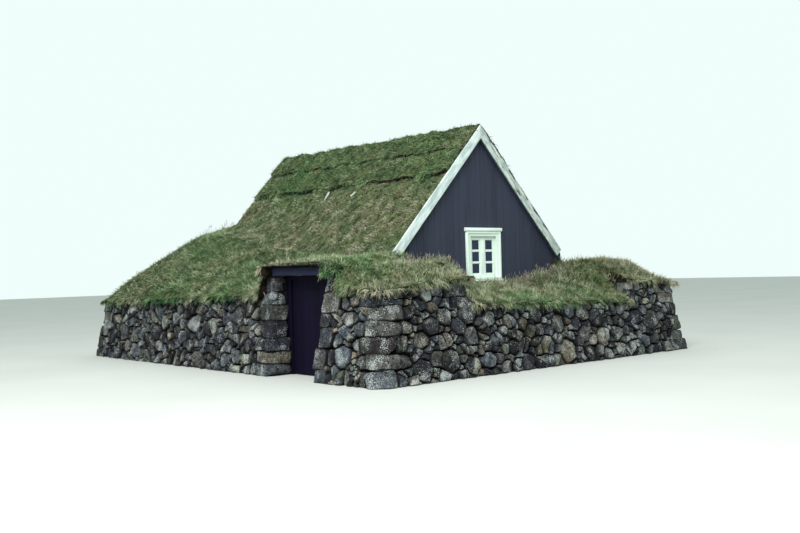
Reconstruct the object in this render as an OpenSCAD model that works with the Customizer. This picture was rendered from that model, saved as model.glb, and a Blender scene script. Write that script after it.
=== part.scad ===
// Turf house: a timber house with a turfed roof, set between thick stone-faced walls that carry
// turf banks. The origin is on the ground at the middle of the footprint. The front wall and the
// boarded front gable face -Y, and the doorway is in the left wall, which faces -X.

/* [Footprint and walls] */
// Length of the front wall at the ground
front_len = 7800; // [7400:50:8400]
// Length of the side walls at the ground
side_len = 9800; // [9400:50:10400]
// Depth of the front wall, from its face to the boarded gable
front_depth = 1760; // [1660:20:1840]
// Depth of the back wall, behind the rear gable
back_depth = 1820; // [1600:20:2000]
// Inside width of the room
room_w = 4000; // [3900:20:4080]
// Thickness of the inner stone leaf under each wall plate
leaf_t = 150; // [120:10:200]
// Lean of the outer stone faces, run over rise
batter = 0.18; // [0.12:0.01:0.20]
// Height of the stone in the right wall and at the back right corner
side_wall_h = 1220; // [1160:20:1260]
// Height of the stone in the left wall, beside the doorway
left_wall_h = 1270; // [1200:10:1300]
// Height of the stone at the back left corner
back_left_h = 1130; // [1100:10:1220]
// Height of the stone at the near corner
corner_wall_h = 1340; // [1280:20:1400]
// Height of the stone beside the dip, on its left
dip_left_h = 1480; // [1400:20:1500]
// Height of the stone in the dip before the window, at its left end
dip_wall_left_h = 1070; // [1000:10:1100]
// Height of the stone in the dip before the window, at its right end
dip_wall_right_h = 950; // [880:10:1000]
// Height of the stone beside the dip, on its right
dip_right_h = 1340; // [1240:20:1400]
// Height of the stone at the right end of the front
right_front_wall_h = 1240; // [1200:20:1300]
// Where the dip starts, from the middle of the front
dip_start = 1820; // [1700:20:1960]
// Where the dip ends, from the middle of the front
dip_end = 2270; // [2160:10:2400]

/* [Doorway] */
// Clear width of the passage through the left wall
passage_w = 1340; // [1280:10:1400]
// Distance of the near jamb before the boarded gable
near_jamb_lead = 140; // [80:10:160]
// Clear height of the passage
passage_h = 1630; // [1590:10:1700]
// Lean of the far jamb's stones into the doorway at the ground
far_jamb_lean = 170; // [0:10:200]
// Lean of the near jamb's stones into the doorway at the ground
near_jamb_lean = 40; // [0:10:80]
// Length of the near pier, towards the front
near_pier_len = 450; // [380:10:520]
// Length of the far pier, towards the back
far_pier_len = 300; // [240:10:360]
// Thickness of the stone slabs over the passage
slab_t = 150; // [110:10:170]
// Width of one slab, along the passage
slab_w = 278; // [240:2:320]
// Bearing of the slabs on each pier
slab_bearing = 100; // [80:10:160]
// Bearing of the lintel board on each pier
lintel_bearing = 50; // [40:5:70]
// Height of the lintel board
lintel_h = 135; // [110:5:150]
// Thickness of the lintel board
lintel_t = 80; // [60:5:100]
// Distance of the door frame behind the foot of the wall
frame_setback = 480; // [440:10:560]
// Width of each door post
post_w = 150; // [120:5:170]
// Depth of each door post
post_d = 75; // [65:5:95]
// Height of the door head
door_head_h = 60; // [50:5:75]
// Depth of the rebate that the leaf closes into
rebate = 20; // [12:1:25]
// Thickness of the door leaf
leaf_d = 40; // [30:2:44]
// Clearance round the door leaf
door_gap = 5; // [4:1:8]
// Height of the leaf above the ground
leaf_lift = 20; // [15:5:40]
// Width of a ledge on the back of the leaf
ledge_w = 120; // [90:5:140]
// Thickness of a ledge
ledge_t = 28; // [20:2:32]
// Radius of the hinge pins
pin_r = 8; // [6:0.5:9]
// Wall of the hinge eyes
eye_wall = 6; // [4:0.5:7]
// Height of the hinge eyes and straps
eye_h = 44; // [36:2:56]
// Length of the hinge straps
strap_len = 620; // [480:10:760]
// Length of the flat iron bar across the door
bar_len = 390; // [300:10:480]
// Distance of the flat iron bar below the leaf's top
bar_drop = 190; // [140:5:240]

/* [Roof timber] */
// Upright distance from the wall plates up to the roof boards, at the eaves
rafter_heel = 84; // [70:2:100]
// Pitch of the roof in degrees
pitch = 46.5; // [45.5:0.5:47.5]
// Width of the barge boards
barge_w = 170; // [150:5:190]
// Thickness of the barge boards
barge_t = 28; // [22:1:36]
// Upright distance from the barge boards' top edge down to the roof boards
barge_cover = 160; // [130:5:180]
// How far the roof runs out before the front gable
verge = 70; // [50:5:110]
// Thickness of the roof boards
board_t = 28; // [20:1:34]
// Depth of the rafters
rafter_d = 120; // [100:5:130]
// Thickness of the rafters
rafter_t = 70; // [50:5:90]
// Number of rafter pairs
rafter_pairs = 8; // [7:1:9]
// Thickness of the ridge board
ridge_t = 40; // [30:2:60]
// Height of the ridge board
ridge_h = 170; // [140:5:200]
// Height of the wall plates
plate_h = 140; // [110:5:150]
// Height of the wall plates' top
plate_top = 1700; // [1670:5:1720]
// Thickness of the gable boards
gable_t = 30; // [24:1:36]
// Clearance of the rear barge boards' feet above the bank
rear_barge_clear = 30; // [20:5:80]

/* [Window] */
// Distance of the window's middle to the right of the gable's middle
window_off = 60; // [0:5:80]
// Width over the window casing
casing_w = 880; // [820:10:920]
// Top of the window casing
casing_top = 2330; // [2300:5:2350]
// Bottom of the window casing
casing_foot = 1464; // [1460:2:1476]
// Width of the casing's sides
casing_side = 110; // [95:5:115]
// Width of the casing's head
casing_head = 90; // [80:5:105]
// Height of the casing's foot
casing_base = 45; // [40:5:60]
// How far the casing stands out from the boards
casing_out = 32; // [24:2:44]
// Width of the raised outer band of the casing
casing_band = 38; // [28:2:44]
// Height of the raised outer band above the casing
casing_band_t = 12; // [8:1:18]
// Width over the head cap
cap_w = 925; // [900:5:970]
// Height of the head cap
cap_h = 68; // [50:2:75]
// How far the head cap stands out
cap_out = 62; // [54:2:68]
// Height of the sill
sill_h = 32; // [24:2:36]
// Width of the sashes' outer stiles and rails
stile = 62; // [50:2:70]
// Width of each stile where the sashes meet
meeting_stile = 74; // [60:2:80]
// Thickness of the sashes
sash_t = 40; // [34:2:48]
// Thickness of the glass
glass_t = 4; // [3:1:6]
// Clearance between sash and casing
sash_gap = 0.3; // [0:0.1:1]
// Clearance between what lies on a slope and what carries it
lay_gap = 0.2; // [0.1:0.1:0.5]

/* [Turf] */
// How far the turf hangs out over the stone
overhang = 70; // [50:5:90]
// Thickness of the turf's edge over the stone
lip_t = 105; // [90:5:120]
// Thickness of the turf on the roof, square to the boards
roof_turf_t = 70; // [65:5:85]
// Upright thickness of the grass that has grown on the roof turf below the sods
roof_growth = 42; // [30:2:50]
// Thickness of the lower ridge sods, square to the boards
lower_sod_t = 38; // [34:2:46]
// Thickness of the upper ridge sods, square to the boards
upper_sod_t = 24; // [20:2:36]
// Rise of the grown ridge from the front gable to the rear
ridge_swell = 80; // [0:10:120]
// Reach of the upper sods down the slope
upper_sod_reach = 620; // [520:10:700]
// Reach of the lower sods down the slope
lower_sod_reach = 1220; // [1100:10:1300]
// Raggedness of the sods' lower edges
sod_rag = 35; // [10:5:45]
// Thickness of the turf over the slabs, at its edge above the doorway
door_turf_t = 100; // [90:5:115]
// Thickness of the turf over the slabs, at the eaves by the front gable
eave_turf_t = 200; // [192:2:215]
// Height of the turf surface at the eaves by the rear gable
eave_rear_z = 2580; // [2520:10:2620]
// Highest level of the bank behind the house
rear_bank_z = 2860; // [2800:10:2900]
// Roundness of the bank's corners at the back
hip_round = 200; // [100:20:400]
// Swelling of the bank's corners at the back
hip_bulge = 60; // [0:10:120]
// Rise of the banks' rear ends over the roof's lower edge, a share of the run
hip_rise = 0.27; // [0.2:0.01:0.32]
// Crest of the turf at the near corner
corner_crest_z = 1800; // [1760:5:1810]
// Crest of the turf at the right end of the front
right_crest_z = 1800; // [1740:5:1830]
// Height of the terrace turf where it meets the window
terrace_top_z = 1420; // [1400:2:1424]
// Height of the terrace turf at the gable, right of the window
terrace_right_z = 1560; // [1500:10:1600]
// Depth of the broad waves in the turf
wave_depth = 14; // [0:2:20]
// Depth of the hummocks in the turf
hummock_depth = 22; // [0:2:26]

/* [Hidden] */
$fn = 48;

// Plan lines
half_x = front_len / 2;
half_y = side_len / 2;
gable_front_y = -half_y + front_depth;
gable_rear_y = half_y - back_depth;
room_half = room_w / 2;
plate_out = room_half + leaf_t;
verge_y = gable_front_y - verge;

// Slope of the roof and upright thicknesses of what lies along it
slope = tan(pitch);
eave_half = plate_out;
function upright(t) = t / cos(pitch);
function roof_line(top_z, x) = top_z - slope * abs(x);
board_under = plate_top + rafter_heel + slope * eave_half;
board_top = board_under + upright(board_t);
peak_z = board_top + barge_cover;
rear_barge_half = (peak_z - upright(barge_w) - rear_bank_z - rear_barge_clear) / slope;
rafter_under = board_under - upright(rafter_d);
turf_line = board_top + upright(roof_turf_t);
lower_sod_line = turf_line + upright(lower_sod_t);
upper_sod_line = lower_sod_line + upright(upper_sod_t);
lower_sod_x = lower_sod_reach * cos(pitch);
upper_sod_x = upper_sod_reach * cos(pitch);

// Doorway lines
near_jamb_y = gable_front_y - near_jamb_lead;
far_jamb_y = near_jamb_y + passage_w;
near_pier_y = near_jamb_y - near_pier_len;
far_pier_y = far_jamb_y + far_pier_len;
slab_top = passage_h + slab_t;
frame_x = -half_x + frame_setback;
leaf_in_x = frame_x + post_d;
leaf_out_x = leaf_in_x - leaf_d;
leaf_y0 = near_jamb_y + post_w - rebate + door_gap;
leaf_y1 = far_jamb_y - post_w + rebate - door_gap;
leaf_top = passage_h - door_head_h + rebate - door_gap;
eye_r = pin_r + eye_wall;
pin_clear = 0.3;
pin_x = leaf_in_x + eye_r + 2;
pin_y = leaf_y0 - door_gap;
// Hinges and ledges keep their distances from the leaf's foot and top
hinge_up = 310;
hinge_down = 255;
ledge_up = 460;
ledge_down = 465;
hinge_z = [leaf_lift + hinge_up, leaf_top - hinge_down];
ledge_z = [leaf_lift + ledge_up, leaf_top - ledge_down];
bar_z = leaf_top - bar_drop;
lintel_x = -half_x + batter * passage_h - lintel_t / 2;
slab_x0 = lintel_x + lintel_t;
slab_x1 = -plate_out;
slab_y0 = near_jamb_y - slab_bearing;
slab_y1 = far_jamb_y + slab_bearing;
slab_gap = 4;
door_lip_z = slab_top + door_turf_t;
eave_front_z = slab_top + eave_turf_t;

// Smooth step from 0 at a to 1 at b
function ease(a, b, t) = let(s = max(0, min(1, (t - a) / (b - a)))) s * s * (3 - 2 * s);
function mix(a, b, s) = a + (b - a) * s;
// The lower of two levels, with the corner between them rounded over k
function lower_of(a, b, k) =
  let(s = max(0, min(1, 0.5 + (b - a) / (2 * k)))) mix(b, a, s) - k * s * (1 - s);

// Level tops of the stone: each falls or rises evenly along its wall
function corner_top(x) = mix(corner_wall_h, dip_left_h, (x + half_x) / (half_x - dip_start));
function right_top(x) = mix(dip_right_h, right_front_wall_h, (x - dip_end) / (half_x - dip_end));
function dip_top(x) = mix(dip_wall_left_h, dip_wall_right_h, (x + dip_start) / (dip_start + dip_end));
function left_top(y) = mix(left_wall_h, back_left_h, (y - far_pier_y) / (half_y - far_pier_y));
function back_top(x) = mix(back_left_h, side_wall_h, (x + half_x) / front_len);
// Height at which a leaning face meets a top of height h that rises inwards
function edge_z(h, rise) = h / (1 - batter * rise);
corner_edge_z = edge_z(corner_wall_h, (dip_left_h - corner_wall_h) / (half_x - dip_start));
right_edge_z = edge_z(right_front_wall_h, (dip_right_h - right_front_wall_h) / (half_x - dip_end));
back_left_edge_z = edge_z(back_left_h, (side_wall_h - back_left_h) / front_len);
back_right_edge_z = edge_z(side_wall_h, (back_left_h - side_wall_h) / front_len);

// Turf plan lines
lip_x = half_x - batter * side_wall_h + overhang;
lip_y = half_y - batter * side_wall_h + overhang;
// Distances over which the turf changes level
corner_run = 800;
corner_fade = 900;
hip_fade = 300;
far_fall_run = 520;
terrace_lead = 300;
right_corner_run = 900;
right_corner_fade = 450;
right_eave_fade = 400;
door_rise_run = 850;
right_fall_run = 3200;
shoulder_run = 600;
// Edges of the terrace beside the window, and how far the mounds' crests stand below their corners
terrace_left = -380;
terrace_right = 560;
terrace_bend = 1850;
crest_drop = 18;
right_lip_rise = 60;
// In and out waves of the turf's edge
edge_wave = 14;

// Gentle waves of the turf, in plan and in height
function waves(x, y) =
  wave_depth * (0.5 * sin(0.13 * x + 0.05 * y) + 0.5 * sin(0.11 * y - 0.07 * x + 40)
  + 0.35 * sin(0.31 * x + 0.23 * y + 100) - 0.35);
function hummocks(x, y) =
  hummock_depth * (0.6 * sin(0.55 * x + 0.1 * y + 60 * sin(0.21 * y))
  + 0.6 * sin(0.5 * y - 0.12 * x + 60 * sin(0.17 * x)) - 0.25);
function ragged(t) = sin(0.19 * t + 30) + 0.6 * sin(0.47 * t + 80);

// Even steps from a to b
function steps(a, b, n) = [for (i = [0:n]) a + (b - a) * i / n];

// Turf surface along the side banks: its edge, its level at the eaves, and the slope between
function left_lip_z(y) =
  mix(mix(corner_wall_h + lip_t, door_lip_z, ease(near_jamb_y - 200 - door_rise_run, near_jamb_y - 200, y)),
    left_top(y) + lip_t, ease(far_jamb_y + 80, far_pier_y + far_fall_run, y));
function right_lip_z(y) =
  mix(right_front_wall_h + lip_t + right_lip_rise, side_wall_h + lip_t,
    ease(-half_y, -half_y + right_fall_run, y));
function eave_z(y) =
  mix(corner_crest_z, mix(eave_front_z, eave_rear_z, ease(far_pier_y, gable_rear_y, y)),
    ease(near_pier_y, near_jamb_y - 60, y));
function right_eave_z(y) =
  mix(right_crest_z, mix(eave_front_z, eave_rear_z, ease(0, gable_rear_y, y)),
    ease(gable_front_y - 60, gable_front_y + right_eave_fade, y));
// Swelling between the edge and the crest of a bank, growing towards the back
function bulge(s, y) = hip_bulge * 4 * s * (1 - s) * ease(far_pier_y, gable_rear_y, y);
function side_z(x, y) =
  let(edge = x < 0 ? left_lip_z(y) : right_lip_z(y), eave = x < 0 ? eave_z(y) : right_eave_z(y),
    s = max(0, min(1, (lip_x - abs(x)) / (lip_x - eave_half))),
    over_roof = hip_rise * max(0, eave_half - abs(x)) * ease(far_pier_y, gable_rear_y, y))
  lower_of(rear_bank_z, mix(edge, eave, s) + bulge(s, y) + over_roof, hip_round / 2);
function back_z(x, y) =
  let(s = (lip_y - y) / (lip_y - gable_rear_y))
  lower_of(side_z(x, gable_rear_y), mix(back_top(x) + lip_t, rear_bank_z, s) + bulge(s, y),
    hip_round * ease(gable_rear_y - 100, gable_rear_y + hip_fade, y));
// Turf surface before the gable: the corner mound, the sloping terrace and the right mound
function terrace_z(x, y) =
  mix(dip_top(x) + lip_t, mix(terrace_top_z, terrace_right_z, ease(terrace_right, terrace_bend, x)),
    ease(-lip_y - terrace_lead, gable_front_y + 100, y));
function left_shoulder(x, y) =
  let(reach = mix(-dip_start - 40, terrace_left, ease(-lip_y + 100, gable_front_y, y)))
  1 - ease(reach - shoulder_run, reach, x);
function right_shoulder(x, y) =
  ease(terrace_bend - 60, dip_end + 60, x) * ease(-lip_y + 200, -lip_y + right_corner_run, y);
function corner_z(x, y) =
  let(edge = mix(corner_top(x) + lip_t, corner_crest_z, ease(-lip_y, -lip_y + corner_run, y)))
  mix(min(edge, left_lip_z(y)), edge, ease(lip_x, lip_x - corner_fade, abs(x)));
function right_corner_z(x, y) =
  let(edge = mix(right_top(x) + lip_t, right_crest_z, ease(-lip_y, -lip_y + right_corner_run, y)))
  mix(min(edge, right_lip_z(y)), edge, ease(lip_x, lip_x - right_corner_fade, abs(x)));
function front_z(x, y) =
  x < -dip_start ? corner_z(x, y)
  : x > dip_end ? right_corner_z(x, y)
  : let(back = ease(-lip_y, gable_front_y, y))
    mix(mix(terrace_z(x, y), corner_crest_z - crest_drop, left_shoulder(x, y) * back),
      right_crest_z - crest_drop, right_shoulder(x, y));

// Extrudes a profile drawn in X and Z from y0 to y1
module along_y(y0, y1) {
  translate([0, y1, 0]) rotate([90, 0, 0]) linear_extrude(y1 - y0) children();
}

// Extrudes a profile drawn in Y and Z from x0 to x1
module along_x(x0, x1) {
  translate([x0, 0, 0]) rotate([90, 0, 90]) linear_extrude(x1 - x0) children();
}

module box(lo, hi) {
  translate(lo) cube(hi - lo);
}

// Mirrors what is drawn for the right side over to the left when side is -1
module mirrored(side) {
  mirror(side < 0 ? [1, 0, 0] : [0, 0, 0]) children();
}

// A block of turf between a curved top and a base, on a grid of plan points
module turf_block(xs, ys, top, base, plan) {
  n = len(xs);
  m = len(ys);
  plan_points = [for (y = ys) for (x = xs) plan(x, y)];
  upper = [for (p = plan_points) [p[0], p[1], top(p[0], p[1])]];
  lower = [for (p = plan_points) [p[0], p[1], base(p[0], p[1])]];
  low = n * m;
  // Each square is split along the line that runs up from the nearest outer corner
  top_faces = [for (j = [0:m - 2]) for (i = [0:n - 2])
    let(a = j * n + i, split = (xs[i] + xs[i + 1]) * (ys[j] + ys[j + 1]) < 0)
    each split ? [[a, a + n, a + 1], [a + 1, a + n, a + n + 1]]
      : [[a, a + n, a + n + 1], [a, a + n + 1, a + 1]]];
  base_faces = [for (f = top_faces) [f[0] + low, f[2] + low, f[1] + low]];
  front = [for (i = [0:n - 2]) each [[i, i + 1, i + 1 + low], [i, i + 1 + low, i + low]]];
  back_row = (m - 1) * n;
  back = [for (i = [back_row:back_row + n - 2])
    each [[i, i + low, i + 1 + low], [i, i + 1 + low, i + 1]]];
  left = [for (j = [0:m - 2]) let(a = j * n)
    each [[a, a + low, a + n + low], [a, a + n + low, a + n]]];
  right = [for (j = [0:m - 2]) let(a = j * n + n - 1)
    each [[a, a + n, a + n + low], [a, a + n + low, a + low]]];
  polyhedron(concat(upper, lower), concat(top_faces, base_faces, front, back, left, right));
}

// Rounds the turf's surface down towards its outer edges
function rounded(z, base, d) = mix(base + lip_t * 0.6, z, sqrt(ease(-60, 260, d)));
// Moves plan points on the outer edge in and out a little
function edge_shift(x, y) = [
  abs(x) > lip_x - 1 ? sign(x) * edge_wave * ragged(y) : 0,
  abs(y) > lip_y - 1 ? sign(y) * edge_wave * ragged(x) : 0];
plan_edge = function(x, y) [x, y] + edge_shift(x, y);
plan_plain = function(x, y) [x, y];

module stone(tone = "#6f675b") {
  color(tone) children();
}

module front_wall_profile(h) {
  polygon([[-half_y, 0], [gable_front_y, 0], [gable_front_y, h], [-half_y + batter * h, h]]);
}

module left_face_profile(h, inner) {
  polygon([[-half_x, 0], [inner, 0], [inner, h], [-half_x + batter * h, h]]);
}

module front_wall_left() {
  stone() difference() {
    intersection() {
      along_x(-half_x, -dip_start) front_wall_profile(dip_left_h);
      along_y(-half_y, gable_front_y) polygon([[-half_x, 0], [-dip_start, 0],
        [-dip_start, dip_left_h], [-half_x + batter * corner_edge_z, corner_edge_z]]);
    }
    box([-half_x - 1, near_pier_y, -1], [-plate_out, gable_front_y + 1, dip_left_h + 1]);
  }
}

module front_wall_dip() {
  stone("#746c60") intersection() {
    along_x(-dip_start, dip_end) front_wall_profile(dip_wall_left_h);
    along_y(-half_y, gable_front_y) polygon([[-dip_start, 0], [dip_end, 0],
      [dip_end, dip_wall_right_h], [-dip_start, dip_wall_left_h]]);
  }
}

module front_wall_right() {
  stone() intersection() {
    along_x(dip_end, half_x) front_wall_profile(dip_right_h);
    along_y(-half_y, gable_front_y) polygon([[dip_end, 0], [half_x, 0],
      [half_x - batter * right_edge_z, right_edge_z], [dip_end, dip_right_h]]);
  }
}

module left_wall() {
  stone() intersection() {
    along_y(far_pier_y, gable_rear_y) left_face_profile(left_wall_h, -plate_out);
    along_x(-half_x, -plate_out) polygon([[far_pier_y, 0], [gable_rear_y, 0],
      [gable_rear_y, left_top(gable_rear_y)], [far_pier_y, left_wall_h]]);
  }
}

module right_wall() {
  stone() mirror([1, 0, 0]) along_y(gable_front_y, gable_rear_y)
    left_face_profile(side_wall_h, -plate_out);
}

module back_wall() {
  stone("#6a6257") intersection() {
    along_x(-half_x, half_x) polygon([[gable_rear_y, 0], [half_y, 0],
      [half_y - batter * side_wall_h, side_wall_h], [gable_rear_y, side_wall_h]]);
    along_y(gable_rear_y, half_y) polygon([[-half_x, 0], [half_x, 0],
      [half_x - batter * back_right_edge_z, back_right_edge_z],
      [-half_x + batter * back_left_edge_z, back_left_edge_z]]);
  }
}

// A pier beside the passage; before the door frame its stones lean into the doorway
module door_pier(outer_y, jamb_y, lean) {
  foot_y = jamb_y + sign(jamb_y - outer_y) * lean;
  stone("#7a7164") {
    along_y(min(outer_y, jamb_y), max(outer_y, jamb_y)) left_face_profile(passage_h, -plate_out);
    intersection() {
      along_x(-half_x, frame_x)
        polygon([[foot_y, 0], [outer_y, 0], [outer_y, passage_h], [jamb_y, passage_h]]);
      along_y(min(outer_y, foot_y), max(outer_y, foot_y)) left_face_profile(passage_h, frame_x);
    }
  }
}

module door_pier_near() door_pier(near_pier_y, near_jamb_y, near_jamb_lean);
module door_pier_far() door_pier(far_pier_y, far_jamb_y, far_jamb_lean);

module inner_leaf(side, y0) {
  x0 = side < 0 ? -plate_out : room_half;
  stone("#5d564c") box([x0, y0, 0], [x0 + leaf_t, gable_rear_y - gable_t, plate_top - plate_h]);
}

module inner_leaf_left() inner_leaf(-1, far_jamb_y);
module inner_leaf_right() inner_leaf(1, gable_front_y + gable_t);

module passage_slabs() {
  count = floor((slab_x1 - slab_x0) / slab_w);
  pitch_x = (slab_x1 - slab_x0 + slab_gap) / count;
  stone("#665e54") for (i = [0:count - 1])
    box([slab_x0 + i * pitch_x, slab_y0, passage_h],
      [slab_x0 + (i + 1) * pitch_x - slab_gap, slab_y1, slab_top]);
}

module lintel() {
  color("#77797f") box([lintel_x, near_jamb_y - lintel_bearing, passage_h],
    [lintel_x + lintel_t, far_jamb_y + lintel_bearing, passage_h + lintel_h]);
}

module door_frame() {
  color("#2b2a33") along_x(frame_x, leaf_out_x) difference() {
    translate([near_jamb_y, 0]) square([passage_w, passage_h]);
    translate([near_jamb_y + post_w, -1])
      square([passage_w - 2 * post_w, passage_h - door_head_h + 1]);
  }
  color("#2b2a33") along_x(leaf_out_x, leaf_in_x) difference() {
    translate([near_jamb_y, 0]) square([passage_w, passage_h]);
    translate([near_jamb_y + post_w - rebate, -1])
      square([passage_w - 2 * post_w + 2 * rebate, passage_h - door_head_h + rebate + 1]);
  }
}

module door_leaf() {
  color("#2a2736") box([leaf_out_x, leaf_y0, leaf_lift], [leaf_in_x, leaf_y1, leaf_top]);
}

module door_ledges() {
  inset = 70;
  color("#2f2b38") for (z = ledge_z)
    box([leaf_in_x, leaf_y0 + inset, z], [leaf_in_x + ledge_t, leaf_y1 - inset, z + ledge_w]);
}

// A flat iron bar across the upper middle of the door's outer face
module door_strap() {
  bar_h = 26;
  bar_t = 8;
  off_middle = 20;
  mid_y = (leaf_y0 + leaf_y1) / 2 - off_middle;
  color("#26242b") box([leaf_out_x - bar_t, mid_y - bar_len / 2, bar_z],
    [leaf_out_x, mid_y + bar_len / 2, bar_z + bar_h]);
}

module hinge_straps() {
  strap_t = 8;
  color("#2c2a2a") for (z = hinge_z) {
    difference() {
      union() {
        translate([pin_x, pin_y, z]) cylinder(r = eye_r, h = eye_h);
        box([leaf_in_x, pin_y, z], [leaf_in_x + strap_t, pin_y + strap_len, z + eye_h]);
        box([leaf_in_x, pin_y, z], [pin_x, pin_y + eye_r, z + eye_h]);
      }
      translate([pin_x, pin_y, z - 1]) cylinder(r = pin_r + pin_clear, h = eye_h + 2);
    }
  }
}

module hinge_pins() {
  lug_h = 14;
  color("#2c2a2a") for (z = hinge_z) {
    translate([pin_x, pin_y, z - lug_h]) cylinder(r = pin_r, h = eye_h + lug_h + 8);
    box([leaf_in_x, pin_y - 60, z - lug_h - 1], [pin_x + pin_r, pin_y, z - 1]);
  }
}

module wall_plate(side) {
  color("#3a332b") box([min(side * room_half, side * plate_out), gable_front_y, plate_top - plate_h],
    [max(side * room_half, side * plate_out), gable_rear_y, plate_top]);
}

module wall_plate_left() wall_plate(-1);
module wall_plate_right() wall_plate(1);

// One rafter of the left slope, notched over the wall plate
module rafter_profile() {
  top = board_under - lay_gap;
  difference() {
    polygon([[-ridge_t / 2, roof_line(top, ridge_t / 2)],
      [-plate_out, roof_line(top, plate_out)],
      [-plate_out, roof_line(rafter_under, plate_out)],
      [-ridge_t / 2, roof_line(rafter_under, ridge_t / 2)]]);
    translate([-plate_out - 1, plate_top - plate_h])
      square([plate_out - room_half + 1, plate_h]);
  }
}

module rafters_of_left() {
  first = gable_front_y + gable_t;
  last = gable_rear_y - gable_t - rafter_t;
  color("#4a4034") for (i = [0:rafter_pairs - 1])
    let(y = first + (last - first) * i / (rafter_pairs - 1))
    along_y(y, y + rafter_t) rafter_profile();
}

module rafters() {
  rafters_of_left();
  mirror([1, 0, 0]) rafters_of_left();
}

module ridge_board() {
  top = roof_line(board_under - lay_gap, ridge_t / 2);
  color("#4a4034") box([-ridge_t / 2, gable_front_y + gable_t, top - ridge_h],
    [ridge_t / 2, gable_rear_y - gable_t, top]);
}

module roof_board_profile() {
  polygon([[0, board_top], [-eave_half, roof_line(board_top, eave_half)],
    [-eave_half, roof_line(board_under, eave_half)], [0, board_under]]);
}

module roof_boards_left() {
  color("#54493b") along_y(verge_y, gable_rear_y) roof_board_profile();
}

module roof_boards_right() {
  color("#54493b") mirror([1, 0, 0]) along_y(verge_y, gable_rear_y) roof_board_profile();
}

// The boarded triangle between the inner leaves, under the roof boards
module gable_profile() {
  peak = board_under - lay_gap;
  polygon([[-room_half, 0], [room_half, 0], [room_half, roof_line(peak, room_half)],
    [0, peak], [-room_half, roof_line(peak, room_half)]]);
}

window_hole_w = casing_w - 80;
window_hole_foot = casing_foot + 20;
window_hole_top = casing_top - 40;

// Places what is drawn about the middle of the window
module at_window() {
  translate([window_off, 0, 0]) children();
}

module gable_boards_front() {
  color("#3b3d47") along_y(gable_front_y, gable_front_y + gable_t) difference() {
    gable_profile();
    translate([window_off - window_hole_w / 2, window_hole_foot])
      square([window_hole_w, window_hole_top - window_hole_foot]);
  }
}

module gable_boards_rear() {
  color("#3b3d47") along_y(gable_rear_y - gable_t, gable_rear_y) gable_profile();
}

// A barge board of the left slope, its foot cut square
module barge_profile() {
  foot_z = roof_line(peak_z, eave_half);
  polygon([[0, peak_z], [-eave_half, foot_z],
    [-eave_half + barge_w * sin(pitch), foot_z - barge_w * cos(pitch)],
    [0, peak_z - upright(barge_w)]]);
}

module barge_front_left() {
  color("#b9bcbd") along_y(verge_y - barge_t, verge_y) barge_profile();
}

module barge_front_right() {
  color("#c6c5c2") mirror([1, 0, 0]) along_y(verge_y - barge_t, verge_y)
    barge_profile();
}

module barge_rear() {
  r = rear_barge_half;
  foot_z = roof_line(peak_z, r);
  under = upright(barge_w);
  color("#b9bcbd") along_y(gable_rear_y, gable_rear_y + barge_t)
    polygon([[-r, foot_z], [0, peak_z], [r, foot_z], [r, foot_z - under], [0, peak_z - under],
      [-r, foot_z - under]]);
}

// A frame drawn in X and Z, with sides, head and foot of their own widths
module frame_profile(w, foot, top, side_w, head_w, foot_w) {
  difference() {
    translate([-w / 2, foot]) square([w, top - foot]);
    translate([-w / 2 + side_w, foot + foot_w])
      square([w - 2 * side_w, top - foot - head_w - foot_w]);
  }
}

module window_casing() {
  white = "#d7dcd8";
  lining = 66;
  lining_gap = 2;
  color(white) at_window() {
    along_y(gable_front_y - casing_out, gable_front_y)
      frame_profile(casing_w, casing_foot, casing_top, casing_side, casing_head, casing_base);
    along_y(gable_front_y - casing_out - casing_band_t, gable_front_y - casing_out)
      frame_profile(casing_w, casing_foot, casing_top, casing_band, casing_band, casing_band);
    along_y(gable_front_y, gable_front_y + lining)
      frame_profile(window_hole_w - 2 * lining_gap, window_hole_foot + lining_gap,
        window_hole_top - lining_gap,
        casing_side - (casing_w - window_hole_w) / 2 - lining_gap,
        casing_head - (casing_top - window_hole_top) - lining_gap,
        casing_base - (window_hole_foot - casing_foot) - lining_gap);
  }
}

module window_head() {
  color("#dfe3df") at_window() along_x(-cap_w / 2, cap_w / 2)
    polygon([[gable_front_y, casing_top], [gable_front_y - cap_out + 10, casing_top],
      [gable_front_y - cap_out, casing_top + 12], [gable_front_y - cap_out, casing_top + cap_h - 8],
      [gable_front_y, casing_top + cap_h]]);
}

module window_sill() {
  color("#cfd3cf") at_window() along_x(-casing_w / 2 - 20, casing_w / 2 + 20)
    polygon([[gable_front_y, casing_foot - sill_h], [gable_front_y - cap_out, casing_foot - sill_h],
      [gable_front_y - cap_out, casing_foot - 10], [gable_front_y, casing_foot]]);
}

sash_y = gable_front_y + 8;
sash_foot = casing_foot + casing_base + sash_gap;
sash_top = casing_top - casing_head - sash_gap;
sash_w = casing_w / 2 - casing_side - 1.5 * sash_gap;

// One sash, with its meeting stile towards the middle
module sash(side) {
  far = casing_w / 2 - casing_side - sash_gap;
  near = far - sash_w;
  pane_near = near + meeting_stile;
  pane_far = far - stile;
  color("#d7dcd8") at_window() mirrored(side) along_y(sash_y, sash_y + sash_t) difference() {
    translate([near, sash_foot]) square([sash_w, sash_top - sash_foot]);
    translate([pane_near, sash_foot + stile])
      square([pane_far - pane_near, sash_top - sash_foot - 2 * stile]);
  }
}

module pane(side) {
  far = casing_w / 2 - casing_side - sash_gap - stile;
  near = casing_w / 2 - casing_side - sash_gap - sash_w + meeting_stile;
  mid_y = sash_y + sash_t / 2;
  color("#566069", 0.6) at_window() mirrored(side)
    box([near, mid_y - glass_t / 2, sash_foot + stile],
      [far, mid_y + glass_t / 2, sash_top - stile]);
}

module sash_left() sash(-1);
module sash_right() sash(1);
module glass() {
  pane(-1);
  pane(1);
}

green = "#6f7a45";
straw = "#8a8356";
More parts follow.
